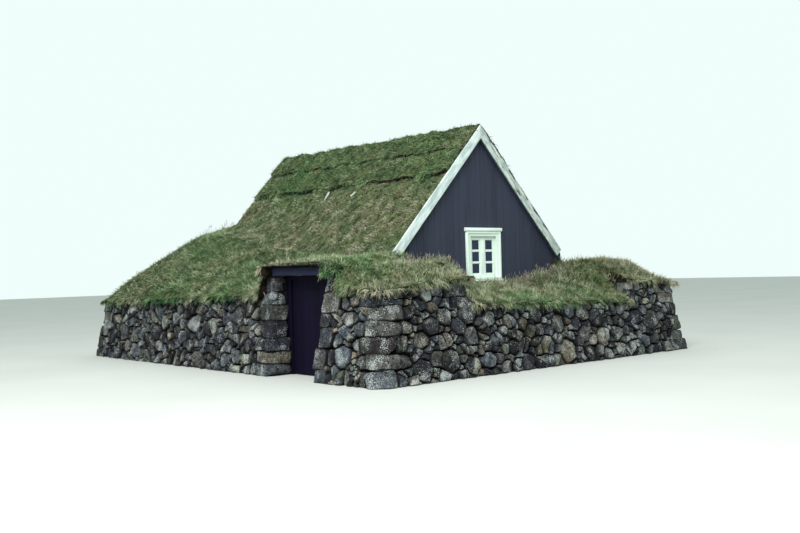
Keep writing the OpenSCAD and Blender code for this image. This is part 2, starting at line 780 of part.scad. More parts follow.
// How much the roof turf, the lower sods and the upper sods have swollen at a place along the ridge
swell_shares = [0.35, 0.6, 1];
function swell(y, layer) =
  ridge_swell * swell_shares[layer] * (y - verge_y) / (gable_rear_y - verge_y);

// Turf on the left slope: flat on the boards, its top following the slope or the bank above it
module roof_turf(side) {
  thin = 40;
  xs = concat([0, upper_sod_x, lower_sod_x], steps(lower_sod_x + 40, eave_half, 6));
  ys = steps(verge_y, gable_rear_y, 26);
  grown = function(x, y) roof_growth + waves(x, y) + hummocks(x, y) * 0.7;
  top = function(x, y) max(roof_line(turf_line + swell(y, 0), x)
    + (x > lower_sod_x + 1 ? grown(x, y) : 0),
    roof_line(board_top, x) + thin, x > lower_sod_x + 1 ? side_z(side * x, y) : 0);
  base = function(x, y) roof_line(board_top + lay_gap, x);
  color(straw) mirrored(side) turf_block(xs, ys, top, base, plan_plain);
}

// A strip of sod laid over the ridge, with ragged lower edges on both slopes
module ridge_sods(under_line, over_line, reach, layer, seed) {
  edge = 110;
  edge_drop = 12;
  ys = steps(verge_y, gable_rear_y, 36);
  xs = [-reach, -reach + edge, -reach / 2, 0, reach / 2, reach - edge, reach];
  top = function(x, y)
    roof_line(over_line + swell(y, layer), x) - (abs(x) > reach - 1 ? edge_drop : 0);
  base = function(x, y) roof_line(under_line + swell(y, layer - 1) + lay_gap, x);
  plan = function(x, y)
    [abs(x) > reach - 1
      ? x - sign(x) * sod_rag * 0.6 * max(0, 1 + ragged(sign(x) * y * 2 + seed)) : x, y];
  color("#6f7a45") turf_block(xs, ys, top, base, plan);
}

module roof_turf_left() roof_turf(-1);
module roof_turf_right() roof_turf(1);
module ridge_sods_lower() ridge_sods(turf_line, lower_sod_line, lower_sod_x, 1, 0);
module ridge_sods_upper() ridge_sods(lower_sod_line, upper_sod_line, upper_sod_x, 2, 900);

// Grid lines close together at the turf's edge: the edge, the turn of its lip, and the top
lip_turn = 90;
lip_back = 240;
function edge_xs(n) =
  concat([eave_half], steps(eave_half + 200, lip_x - lip_back, n), [lip_x - lip_turn, lip_x]);

module bank(side, y0, base) {
  xs = edge_xs(5);
  ys = steps(y0, gable_rear_y, 22);
  top = function(x, y)
    rounded(side_z(side * x, y)
      + (waves(x, y) + hummocks(x, y)) * ease(eave_half, eave_half + 300, x), base(x, y), lip_x - x);
  color(green) mirrored(side) turf_block(xs, ys, top, base, plan_edge);
}

module bank_left() bank(-1, far_pier_y, function(x, y) left_top(y) + lay_gap);
module bank_right() bank(1, gable_front_y, function(x, y) side_wall_h);

// The turf over the doorway lies on the slabs, and past their ends on the piers
module turf_over_door() {
  end_play = 2;
  xs = edge_xs(4);
  ys = concat(steps(near_pier_y, slab_y0 - end_play, 2), steps(slab_y0, slab_y1, 6),
    steps(slab_y1 + end_play, far_pier_y, 1));
  base = function(x, y) y > slab_y0 - 1 && y < slab_y1 + 1 ? slab_top : passage_h;
  top = function(x, y)
    rounded(side_z(-x, y) + (waves(x, y) + hummocks(x, y)) * 0.5, slab_top, lip_x - x);
  color(green) mirrored(-1) turf_block(xs, ys, top, base, plan_edge);
}

module bank_back() {
  right_xs = edge_xs(5);
  xs = concat([for (i = [len(right_xs) - 1:-1:0]) -right_xs[i]],
    steps(-eave_half + 230, eave_half - 230, 16), right_xs);
  ys = concat(steps(gable_rear_y, lip_y - lip_back, 7), [lip_y - lip_turn, lip_y]);
  base = function(x, y) back_top(x) + lay_gap;
  top = function(x, y)
    rounded(back_z(x, y)
      + (min(0, waves(x, y)) + hummocks(x, y)) * ease(gable_rear_y, gable_rear_y + 300, y),
      base(x, y), min(lip_x - abs(x), lip_y - y));
  color(green) turf_block(xs, ys, top, base, plan_edge);
}

function front_ys(n) =
  concat([-lip_y, -lip_y + lip_turn], steps(-lip_y + lip_back, gable_front_y, n));

module mound_left() {
  step_in = 30;
  eave_play = 3;
  eave_run = 150;
  // Under the roof's overhang the turf stays below the boards
  under_eave = function(y) y > verge_y - eave_run ? roof_line(board_under, eave_half) - eave_play
    : corner_crest_z + 200;
  xs = concat([-lip_x, -lip_x + lip_turn], steps(-lip_x + lip_back, -plate_out - 300, 4),
    [-plate_out, -dip_start]);
  ys = front_ys(8);
  base = function(x, y) corner_top(x) + lay_gap;
  top = function(x, y)
    min(under_eave(y), rounded(corner_z(x, y) + min(0, waves(x, y)) + hummocks(x, y), base(x, y),
      min(lip_x + x, y + lip_y, step_in - dip_start - x + 1000 * ease(-lip_y, gable_front_y, y))));
  color(green) difference() {
    turf_block(xs, ys, top, base, plan_edge);
    box([-half_x - 1, near_pier_y, corner_wall_h - 1],
      [-plate_out, gable_front_y + 1, corner_crest_z + 200]);
  }
}

module terrace_turf() {
  xs = steps(-dip_start, dip_end, 20);
  ys = front_ys(8);
  // The turf is smooth where it meets the gable and the window's sill
  uneven = function(x, y)
    (min(0, waves(x, y)) + hummocks(x, y)) * ease(gable_front_y, gable_front_y - 300, y);
  base = function(x, y) dip_top(x) + lay_gap;
  top = function(x, y) rounded(front_z(x, y) + uneven(x, y), base(x, y), y + lip_y);
  color(green) turf_block(xs, ys, top, base, plan_edge);
}

module mound_right() {
  xs = concat([dip_end], steps(dip_end + 200, lip_x - lip_back, 4), [lip_x - lip_turn, lip_x]);
  ys = front_ys(8);
  base = function(x, y) right_top(x) + lay_gap;
  top = function(x, y)
    rounded(right_corner_z(x, y) + min(0, waves(x, y)) + hummocks(x, y), base(x, y),
      min(lip_x - x, y + lip_y));
  color(green) turf_block(xs, ys, top, base, plan_edge);
}

front_wall_left();
front_wall_dip();
front_wall_right();
right_wall();
left_wall();
back_wall();
door_pier_near();
door_pier_far();
inner_leaf_left();
inner_leaf_right();
passage_slabs();
lintel();
door_frame();
door_leaf();
door_ledges();
door_strap();
hinge_straps();
hinge_pins();
wall_plate_left();
wall_plate_right();
rafters();
ridge_board();
roof_boards_left();
roof_boards_right();
gable_boards_front();
gable_boards_rear();
barge_front_left();
barge_front_right();
barge_rear();
window_casing();
window_head();
window_sill();
sash_left();
sash_right();
glass();
roof_turf_left();
roof_turf_right();
ridge_sods_lower();
ridge_sods_upper();
bank_left();
bank_right();
bank_back();
turf_over_door();
mound_left();
terrace_turf();
mound_right();
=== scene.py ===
"""A turf house: stone-faced banks, a turfed roof, a tarred gable with its window, and a hinged door."""

import logging
import math
from dataclasses import dataclass, field, replace
from enum import Enum
from typing import Callable, ClassVar, Optional, Sequence

import bpy
import numpy as np
from bpy.types import Material, NodeSocket, Object
from mathutils import Matrix, Vector, noise


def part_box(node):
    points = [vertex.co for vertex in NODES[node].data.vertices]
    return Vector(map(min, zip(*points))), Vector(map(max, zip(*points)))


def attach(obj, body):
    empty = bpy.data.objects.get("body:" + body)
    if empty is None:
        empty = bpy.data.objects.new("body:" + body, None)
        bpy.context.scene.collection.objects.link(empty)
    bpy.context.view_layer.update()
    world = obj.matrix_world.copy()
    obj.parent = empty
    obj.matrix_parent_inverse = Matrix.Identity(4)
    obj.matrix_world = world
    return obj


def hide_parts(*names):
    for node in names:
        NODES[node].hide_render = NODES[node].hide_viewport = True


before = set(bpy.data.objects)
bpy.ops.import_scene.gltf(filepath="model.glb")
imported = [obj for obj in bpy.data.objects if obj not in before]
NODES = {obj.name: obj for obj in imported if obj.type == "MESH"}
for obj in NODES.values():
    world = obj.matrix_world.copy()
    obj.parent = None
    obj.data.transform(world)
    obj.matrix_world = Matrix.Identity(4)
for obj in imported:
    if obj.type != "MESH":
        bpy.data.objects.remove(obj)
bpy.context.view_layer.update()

log = logging.getLogger("turf_house")

# The walls' ground plan is 7.8 by 9.8 m about the origin, and their faces lean back as they rise
HALF_X, HALF_Y, BATTER = 3.9, 4.9, 0.18
# Stones stop a little above the floor
FOOT = 0.004
PITCH = math.radians(46.5)
# Without a seed the vector noise would start from the clock
NOISE_SEED = 5
HOUSE, DOOR = "house", "door"

Size3 = tuple[float, float, float]


# colour and nodes
def linear(code: str) -> tuple[float, float, float, float]:
    """Turns an sRGB hex colour, such as "#5a714d", to linear red, green, blue and alpha."""
    parts = [int(code[i:i + 2], 16) / 255 for i in (1, 3, 5)]
    return (*[p / 12.92 if p <= 0.04045 else ((p + 0.055) / 1.055) ** 2.4 for p in parts], 1.0)


def waves(size_mm: float) -> float:
    """Gives a pattern's scale, in waves on a metre, from the size of one in millimetres."""
    return 1000 / size_mm


def waves_each(sizes_mm: Size3) -> list[float]:
    """Gives the scale along X, Y and Z of a pattern that is drawn out, from its sizes in millimetres."""
    return [waves(size) for size in sizes_mm]


class Slot(Enum):
    """The record's material slots, one named with each new piece."""

    STONE = "rubble_stone"
    TURF = "grass_turf"
    GABLE = "tarred_boards"
    DOOR = "door_boards"
    PAINT = "weathered_paint"
    WINDOW = "window_paint"
    IRON = "forged_iron"
    GREY_BOARD = "grey_board"


class Kind(Enum):
    """The kinds of node in use: type, the output that is read, the inputs in order, and settings."""

    PLACE = "ShaderNodeTexCoord", "Object", (), {}
    MARK = "ShaderNodeAttribute", "Fac", (), {}
    NOISE = "ShaderNodeTexNoise", 0, ("Vector", "Scale", "Detail", "Roughness"), {}
    CELLS = "ShaderNodeTexVoronoi", "Color", ("Vector", "Scale"), {}
    GAPS = "ShaderNodeTexVoronoi", 0, ("Vector", "Scale"), {"feature": "DISTANCE_TO_EDGE"}
    STRETCH = "ShaderNodeMapping", 0, ("Vector", "Scale"), {}
    TURN = "ShaderNodeMapping", 0, ("Vector", "Rotation"), {}
    RAMP = "ShaderNodeValToRGB", 0, ("Fac",), {}
    MIX = "ShaderNodeMix", 2, (0, 6, 7), {"data_type": "RGBA"}
    MULTIPLY = "ShaderNodeMix", 2, (0, 6, 7), {"data_type": "RGBA", "blend_type": "MULTIPLY"}
    OVERLAY = "ShaderNodeMix", 2, (0, 6, 7), {"data_type": "RGBA", "blend_type": "OVERLAY"}
    TIMES = "ShaderNodeMath", 0, (0, 1), {"operation": "MULTIPLY"}
    TIMES_PLUS = "ShaderNodeMath", 0, (0, 1, 2), {"operation": "MULTIPLY_ADD"}
    BUMP = "ShaderNodeBump", 0, ("Strength", "Distance", "Height"), {}


class Shader:
    """A new material with a Principled shader that reads object coordinates, in metres."""

    def __init__(self, name: str) -> None:
        """Makes the material's empty tree with its shader and output.

        Args:
            name: the real material and how it was made.
        """
        self.material = bpy.data.materials.new(name)
        self.material.use_nodes = True
        self.tree = self.material.node_tree
        self.tree.nodes.clear()
        self.shader = self.tree.nodes.new("ShaderNodeBsdfPrincipled")
        output = self.tree.nodes.new("ShaderNodeOutputMaterial")
        self.tree.links.new(self.shader.outputs[0], output.inputs["Surface"])
        self.place = self.node(Kind.PLACE)

    def node(self, kind: Kind, *inputs: object, stops: Sequence[tuple[float, str]] = (),
             **settings: object) -> NodeSocket:
        """Adds one node with its settings and links.

        Args:
            kind: the kind of node.
            inputs: for each socket in the kind's order, a constant or the output that feeds it.
            stops: places and hex colours of a colour ramp, in order.
            settings: what else is set on the node itself.

        Returns:
            The output that is read.
        """
        name, output, sockets, fixed = kind.value
        made = self.tree.nodes.new(name)
        for key, value in {**fixed, **settings}.items():
            setattr(made, key, value)
        for key, value in zip(sockets, inputs):
            if isinstance(value, NodeSocket):
                self.tree.links.new(value, made.inputs[key])
            else:
                made.inputs[key].default_value = value
        for i, (at, code) in enumerate(stops):
            ramp = made.color_ramp.elements
            stop = ramp[i] if i < 2 else ramp.new(at)
            stop.position, stop.color = at, linear(code)
        return made.outputs[output]

    def finish(self, colour: NodeSocket, height: Optional[NodeSocket] = None,
               depth: float = 0.002, strength: float = 0.6, **constants: float) -> Material:
        """Feeds the shader and gives the material.

        Args:
            colour: the base colour's source.
            height: the bump's source, from 0 to 1.
            depth: what the full height stands for, in metres.
            strength: strength of the bump.
            constants: numbers for the shader's own sockets.

        Returns:
            The finished material.
        """
        self.tree.links.new(colour, self.shader.inputs["Base Color"])
        if height is not None:
            self.tree.links.new(self.node(Kind.BUMP, strength, depth, height), self.shader.inputs["Normal"])
        for key, value in constants.items():
            socket = key.replace("_", " ").title().replace("Ior", "IOR")
            self.shader.inputs[socket].default_value = value
        return self.material


# finishes
@dataclass(frozen=True)
class BasaltRubble:
    """Broken basalt, laid dry: slate grey to brown, rough and matt, speckled with pale lichen."""

    name: str = "basalt_rubble_broken_dry_laid"
    speck_mm: float = 15.0
    grain_mm: float = 36.0
    mottle_mm: float = 58.8
    lichen_field_mm: float = 200.0
    moss_mm: float = 385.0

    def make(self) -> Material:
        """Makes the material; each stone's own tone, and the painted shade in its joints, come from its
        attributes.

        Returns:
            The material.
        """
        s = Shader(self.name)
        tone, hue, deep = (s.node(Kind.MARK, attribute_name=name) for name in ("tone", "hue", "deep"))
        body = s.node(Kind.RAMP, tone, stops=[
            (0.0, "#191a27"), (0.18, "#333542"), (0.5, "#595e65"), (0.8, "#7d8183"), (1.0, "#a0a2a0")])
        warmth = s.node(Kind.RAMP, hue, stops=[
            (0.0, "#5f6880"), (0.2, "#7a7e81"), (0.45, "#838079"), (0.7, "#8e816a"), (0.9, "#ab8a58"),
            (1.0, "#7c885f")])
        mottle = s.node(Kind.NOISE, s.place, waves(self.mottle_mm), 11.0, 0.8)
        shade = s.node(Kind.RAMP, mottle, stops=[(0.41, "#4b4b51"), (0.57, "#ffffff")])
        mottled = s.node(Kind.MULTIPLY, 1.0, s.node(Kind.OVERLAY, 0.75, body, warmth), shade)
        specks = s.node(Kind.NOISE, s.place, waves(self.speck_mm), 4.0, 0.62)
        fields = s.node(Kind.NOISE, s.place, waves(self.lichen_field_mm), 3.0)
        speckled = s.node(Kind.TIMES_PLUS, specks, 0.6, s.node(Kind.TIMES, tone, 0.06))
        lichen = s.node(Kind.RAMP, s.node(Kind.TIMES_PLUS, fields, 0.4, speckled),
                        stops=[(0.575, "#000000"), (0.597, "#d8d8d8")])
        crust = s.node(Kind.MIX, lichen, mottled, linear("#a9afab"))
        moss = s.node(Kind.RAMP, s.node(Kind.NOISE, s.place, waves(self.moss_mm), 8.0),
                      stops=[(0.62, "#000000"), (0.74, "#9a9a9a")])
        mossy = s.node(Kind.MIX, moss, crust, linear("#626d45"))
        grain = s.node(Kind.NOISE, s.place, waves(self.grain_mm), 8.0, 0.72)
        # Painted shade: the stones' sides and rims, where they meet in the joints, are multiplied darker
        # towards #2c2c31.
        return s.finish(s.node(Kind.MULTIPLY, deep, mossy, linear("#2c2c31")),
                        s.node(Kind.TIMES_PLUS, mottle, 2.0, grain), depth=0.009, strength=0.9,
                        roughness=0.93, specular_ior_level=0.3)


@dataclass(frozen=True)
class PackedEarth:
    """Earth packed behind the stones and under the turf, crumbly; coloured near black as painted shade in the
    joints.
    """

    name: str = "earth_packed_painted_shade"
    lump_mm: float = 45.5

    def make(self) -> Material:
        """Makes the material.

        Returns:
            The material.
        """
        s = Shader(self.name)
        lumps = s.node(Kind.NOISE, s.place, waves(self.lump_mm), 8.0)
        # Painted shade: the earth is coloured near black so that the joints between stones read dark.
        colour = s.node(Kind.RAMP, lumps, stops=[(0.3, "#050404"), (0.75, "#131110")])
        return s.finish(colour, lumps, depth=0.03, roughness=1.0, specular_ior_level=0.1)


@dataclass(frozen=True)
class SodTurf:
    """Cut sods grown together: brown soil and roots, greened by what grows in them."""

    name: str = "turf_sods_cut_grown"
    patch_mm: float = 588.0
    fibre_mm: float = 16.7
    hollow_mm: float = 111.0

    def make(self) -> Material:
        """Makes the material; steep edges show the soil, tops the matted growth.

        Returns:
            The material.
        """
        s = Shader(self.name)
        patches = s.node(Kind.NOISE, s.place, waves(self.patch_mm), 7.0, 0.62)
        fibres = s.node(Kind.NOISE, s.place, waves(self.fibre_mm), 6.0, 0.75)
        growth = s.node(Kind.RAMP, patches, stops=[(0.3, "#445b3b"), (0.5, "#5f6f49"), (0.72, "#7c775a")])
        soil = s.node(Kind.RAMP, fibres, stops=[(0.3, "#0f0d0a"), (0.75, "#3a3124")])
        colour = s.node(Kind.MIX, s.node(Kind.MARK, attribute_name="grown"), soil, growth)
        hollows = s.node(Kind.RAMP, s.node(Kind.NOISE, s.place, waves(self.hollow_mm), 5.0, 0.7),
                         stops=[(0.4, "#7a7160"), (0.55, "#ffffff")])
        shade = s.node(Kind.RAMP, fibres, stops=[(0.25, "#50504a"), (0.7, "#ffffff")])
        pitted = s.node(Kind.MULTIPLY, 1.0, colour, hollows)
        return s.finish(s.node(Kind.MULTIPLY, 0.8, pitted, shade), fibres, depth=0.02, strength=0.8,
                        roughness=1.0, specular_ior_level=0.15)


@dataclass(frozen=True)
class MeadowGrass:
    """Short meadow grass with last year's straw: thin, dull blades, with painted shade darkening them towards
    their roots.
    """

    name: str = "meadow_grass_grown"

    def make(self) -> Material:
        """Makes the material; tone, straw and tip come from each blade's attributes.

        Returns:
            The material.
        """
        s = Shader(self.name)
        tone, straw, tip = (s.node(Kind.MARK, attribute_name=name) for name in ("tone", "straw", "tip"))
        green = s.node(Kind.RAMP, tone, stops=[
            (0.0, "#35593a"), (0.35, "#537c50"), (0.7, "#7a9f6c"), (1.0, "#9dba87")])
        dry = s.node(Kind.RAMP, tone, stops=[
            (0.0, "#5f5a47"), (0.35, "#8f8b73"), (0.75, "#b3b098"), (1.0, "#c9c7b0")])
        # Painted shade: each blade is multiplied darker towards its root, down to #6a6a60.
        shade = s.node(Kind.RAMP, tip, stops=[(0.0, "#6a6a60"), (0.55, "#d8d8d0"), (1.0, "#ffffff")])
        colour = s.node(Kind.MULTIPLY, 1.0, s.node(Kind.MIX, straw, green, dry), shade)
        return s.finish(colour, roughness=0.75, specular_ior_level=0.2)


@dataclass(frozen=True)
class SeedHeads:
    """Ripe seed heads on thin stalks: purple-brown, dull."""

    name: str = "grass_seed_heads_ripe"

    def make(self) -> Material:
        """Makes the material.

        Returns:
            The material.
        """
        s = Shader(self.name)
        colour = s.node(Kind.RAMP, s.node(Kind.MARK, attribute_name="tone"),
                        stops=[(0.0, "#6c5a5e"), (0.5, "#8d7c78"), (1.0, "#b9ab90")])
        return s.finish(colour, roughness=0.85, specular_ior_level=0.2)


@dataclass(frozen=True)
class TarredBoards:
    """Pine boards, sawn and tarred: blue-black, with paler streaks where the tar has weathered."""

    name: str = "pine_boards_tarred"
    dark: str = "#1d222f"
    mid: str = "#2d3445"
    pale: str = "#465063"
    grain_mm: float = 9.0
    streak_at: float = 0.6
    gloss: float = 0.35
    grain_run_mm: float = 909.09
    wash_mm: Size3 = (45.455, 45.455, 1428.6)

    def make(self) -> Material:
        """Makes the material; the grain runs upright.

        Returns:
            The material.
        """
        s = Shader(self.name)
        run = waves_each((self.grain_mm, self.grain_mm, self.grain_run_mm))
        grain = s.node(Kind.NOISE, s.node(Kind.STRETCH, s.place, run), 1.0, 5.0, 0.6)
        wash = s.node(Kind.NOISE, s.node(Kind.STRETCH, s.place, waves_each(self.wash_mm)), 1.0, 4.0)
        tone = s.node(Kind.TIMES_PLUS, s.node(Kind.MARK, attribute_name="tone"), 0.3,
                      s.node(Kind.TIMES_PLUS, wash, 0.5, -0.12))
        tar = s.node(Kind.RAMP, tone, stops=[(0.05, self.dark), (0.62, self.mid)])
        streaks = s.node(Kind.RAMP, grain, stops=[
            (self.streak_at, "#000000"), (self.streak_at + 0.13, "#ffffff")])
        colour = s.node(Kind.MIX, s.node(Kind.TIMES, streaks, 0.6), tar, linear(self.pale))
        return s.finish(colour, grain, depth=0.002, strength=0.5, roughness=0.75,
                        specular_ior_level=self.gloss)


@dataclass(frozen=True)
class PeelingPaint:
    """Oil paint on planed pine, chalked by weather: grey-white, peeled to dark wood at its edges."""

    name: str = "oil_paint_brushed_peeling"
    paint: str = "#b4bfb6"
    chalk: str = "#d3ddd4"
    bare: str = "#4c4f52"
    lean: float = 0.0
    wear: float = 0.5
    stain: float = 0.0
    grain_mm: Size3 = (454.55, 7.0, 7.0)
    flake_mm: Size3 = (277.78, 41.667, 41.667)
    stain_mm: Size3 = (312.5, 71.43, 71.43)

    def make(self) -> Material:
        """Makes the material; the grain runs along X turned by lean about Y.

        Returns:
            The material.
        """
        s = Shader(self.name)
        turned = s.node(Kind.TURN, s.place, (0, self.lean, 0))
        run, flakes, stains = (s.node(Kind.STRETCH, turned, waves_each(size))
                               for size in (self.grain_mm, self.flake_mm, self.stain_mm))
        grain = s.node(Kind.NOISE, run, 1.0, 6.0, 0.65)
        peel = s.node(Kind.NOISE, flakes, 1.0, 9.0, 0.72)
        gone = s.node(Kind.TIMES_PLUS, s.node(Kind.MARK, attribute_name="edge"), 0.14 * self.wear, peel)
        limit = 0.78 - 0.24 * self.wear
        bared = s.node(Kind.RAMP, gone, stops=[(limit, "#000000"), (limit + 0.05, "#ffffff")])
        thin = s.node(Kind.NOISE, stains, 1.0, 5.0, 0.6)
        body = s.node(Kind.RAMP, grain, stops=[(0.3, self.paint), (0.7, self.chalk)])
        stained = s.node(Kind.RAMP, thin, stops=[(0.38, "#8c9fb0"), (0.58, "#ffffff")])
        coat = s.node(Kind.MULTIPLY, self.stain, body, stained)
        wood = s.node(Kind.MULTIPLY, 0.8, linear(self.bare), coat)
        return s.finish(s.node(Kind.MIX, bared, coat, wood), s.node(Kind.TIMES_PLUS, bared, -0.7, grain),
                        depth=0.0015, strength=0.6, roughness=0.62, specular_ior_level=0.4)


@dataclass(frozen=True)
class GreyedBoard:
    """A heavy sawn board, unpainted and long in the weather: blue-grey, ridged along the grain."""

    name: str = "driftwood_board_weathered"
    dark: str = "#10131e"
    pale: str = "#272c4a"
    grain_mm: Size3 = (9.0909, 333.33, 9.0909)
    stain_mm: float = 200.0

    def make(self) -> Material:
        """Makes the material; the grain runs along Y.

        Returns:
            The material.
        """
        s = Shader(self.name)
        run = s.node(Kind.STRETCH, s.place, waves_each(self.grain_mm))
        grain = s.node(Kind.NOISE, run, 1.0, 6.0, 0.65)
        stain = s.node(Kind.NOISE, s.place, waves(self.stain_mm), 5.0)
        both = s.node(Kind.TIMES_PLUS, grain, 0.6, s.node(Kind.TIMES, stain, 0.4))
        colour = s.node(Kind.RAMP, both, stops=[(0.3, self.dark), (0.72, self.pale)])
        return s.finish(colour, grain, depth=0.004, strength=0.7, roughness=0.85, specular_ior_level=0.2)


class Axis(Enum):
    """The way a timber's grain runs, as its sizes along X, Y and Z in millimetres."""

    X = (400.0, 11.111, 11.111)
    Y = (11.111, 400.0, 11.111)


@dataclass(frozen=True)
class SawnTimber:
    """Roof timber, sawn and dry: brown, with a fine grain along one axis."""

    name: str
    along: Axis
    dark: str = "#261f1a"
    pale: str = "#4b4035"

    def make(self) -> Material:
        """Makes the material.

        Returns:
            The material.
        """
        s = Shader(self.name)
        run = s.node(Kind.STRETCH, s.place, waves_each(self.along.value))
        grain = s.node(Kind.NOISE, run, 1.0, 6.0, 0.6)
        colour = s.node(Kind.RAMP, grain, stops=[(0.3, self.dark), (0.75, self.pale)])
        return s.finish(colour, grain, depth=0.002, strength=0.5, roughness=0.85, specular_ior_level=0.3)


@dataclass(frozen=True)
class PaneGlass:
    """Drawn window glass, glossy; its dark slate-blue base colour is painted shade of the unlit room behind,
    tinted blue as painted reflection of the sky.
    """

    name: str = "window_glass_drawn"
    wave_mm: float = 167.0

    def make(self) -> Material:
        """Makes the material; the slow waves of drawn glass bend its reflections.

        Returns:
            The material.
        """
        s = Shader(self.name)
        slow = s.node(Kind.NOISE, s.place, waves(self.wave_mm), 1.0)
        # Painted shade and reflection: the dark blue base colour stands for the unlit room behind the glass
        # and the sky reflected in it.
        colour = s.node(Kind.RAMP, slow, stops=[(0.35, "#0a1834"), (0.7, "#122443")])
        return s.finish(colour, slow, depth=0.004, strength=0.15, roughness=0.06, ior=1.52,
                        specular_ior_level=0.28)


@dataclass(frozen=True)
class ForgedIron:
    """Wrought iron, hammered and rusted brown-black: dull, pitted."""

    name: str = "wrought_iron_forged_rusted"
    pit_mm: float = 8.3
    rust_mm: float = 55.6

    def make(self) -> Material:
        """Makes the material.

        Returns:
            The material.
        """
        s = Shader(self.name)
        pits = s.node(Kind.NOISE, s.place, waves(self.pit_mm), 6.0)
        rust = s.node(Kind.NOISE, s.place, waves(self.rust_mm), 6.0)
        colour = s.node(Kind.RAMP, rust, stops=[(0.35, "#131214"), (0.75, "#2d211d")])
        return s.finish(colour, pits, depth=0.0012, strength=0.6, metallic=0.55, roughness=0.7)


@dataclass(frozen=True)
class LaidStone:
    """The inner stone leaves: flat rubble laid dry, drawn as stones with dark joints."""

    name: str = "basalt_rubble_inner_leaf"
    stone_mm: float = 210.0
    flatness: float = 1.45

    def make(self) -> Material:
        """Makes the material.

        Returns:
            The material.
        """
        s = Shader(self.name)
        place = s.node(Kind.STRETCH, s.place, (1.0, 1.0, self.flatness))
        cells, gaps = (s.node(kind, place, waves(self.stone_mm)) for kind in (Kind.CELLS, Kind.GAPS))
        body = s.node(Kind.RAMP, cells, stops=[(0.2, "#2c2d30"), (0.8, "#5b5a55")])
        joint = s.node(Kind.RAMP, gaps, stops=[(0.03, "#141210"), (0.1, "#ffffff")])
        return s.finish(s.node(Kind.MULTIPLY, 1.0, body, joint), joint, depth=0.03, strength=0.9,
                        roughness=0.95, specular_ior_level=0.25)


@dataclass(frozen=True)
class StudioFloor:
    """A plain pale floor, evenly rolled, with the faintest unevenness."""

    name: str = "studio_floor_matt"
    cloud_mm: float = 2500.0

    def make(self) -> Material:
        """Makes the material.

        Returns:
            The material.
        """
        s = Shader(self.name)
        tone = s.node(Kind.NOISE, s.place, waves(self.cloud_mm), 2.0)
        colour = s.node(Kind.RAMP, tone, stops=[(0.2, "#b4b6b1"), (0.8, "#bbbdb8")])
        return s.finish(colour, roughness=0.9, specular_ior_level=0.2)


# modelling
def go_to(mode: str) -> None:
    """Switches to EDIT or OBJECT mode."""
    bpy.ops.object.mode_set(mode=mode)


def deselect() -> None:
    """Leaves edit mode and selects nothing."""
    if bpy.context.object and bpy.context.object.mode != "OBJECT":
        go_to("OBJECT")
    bpy.ops.object.select_all(action="DESELECT")


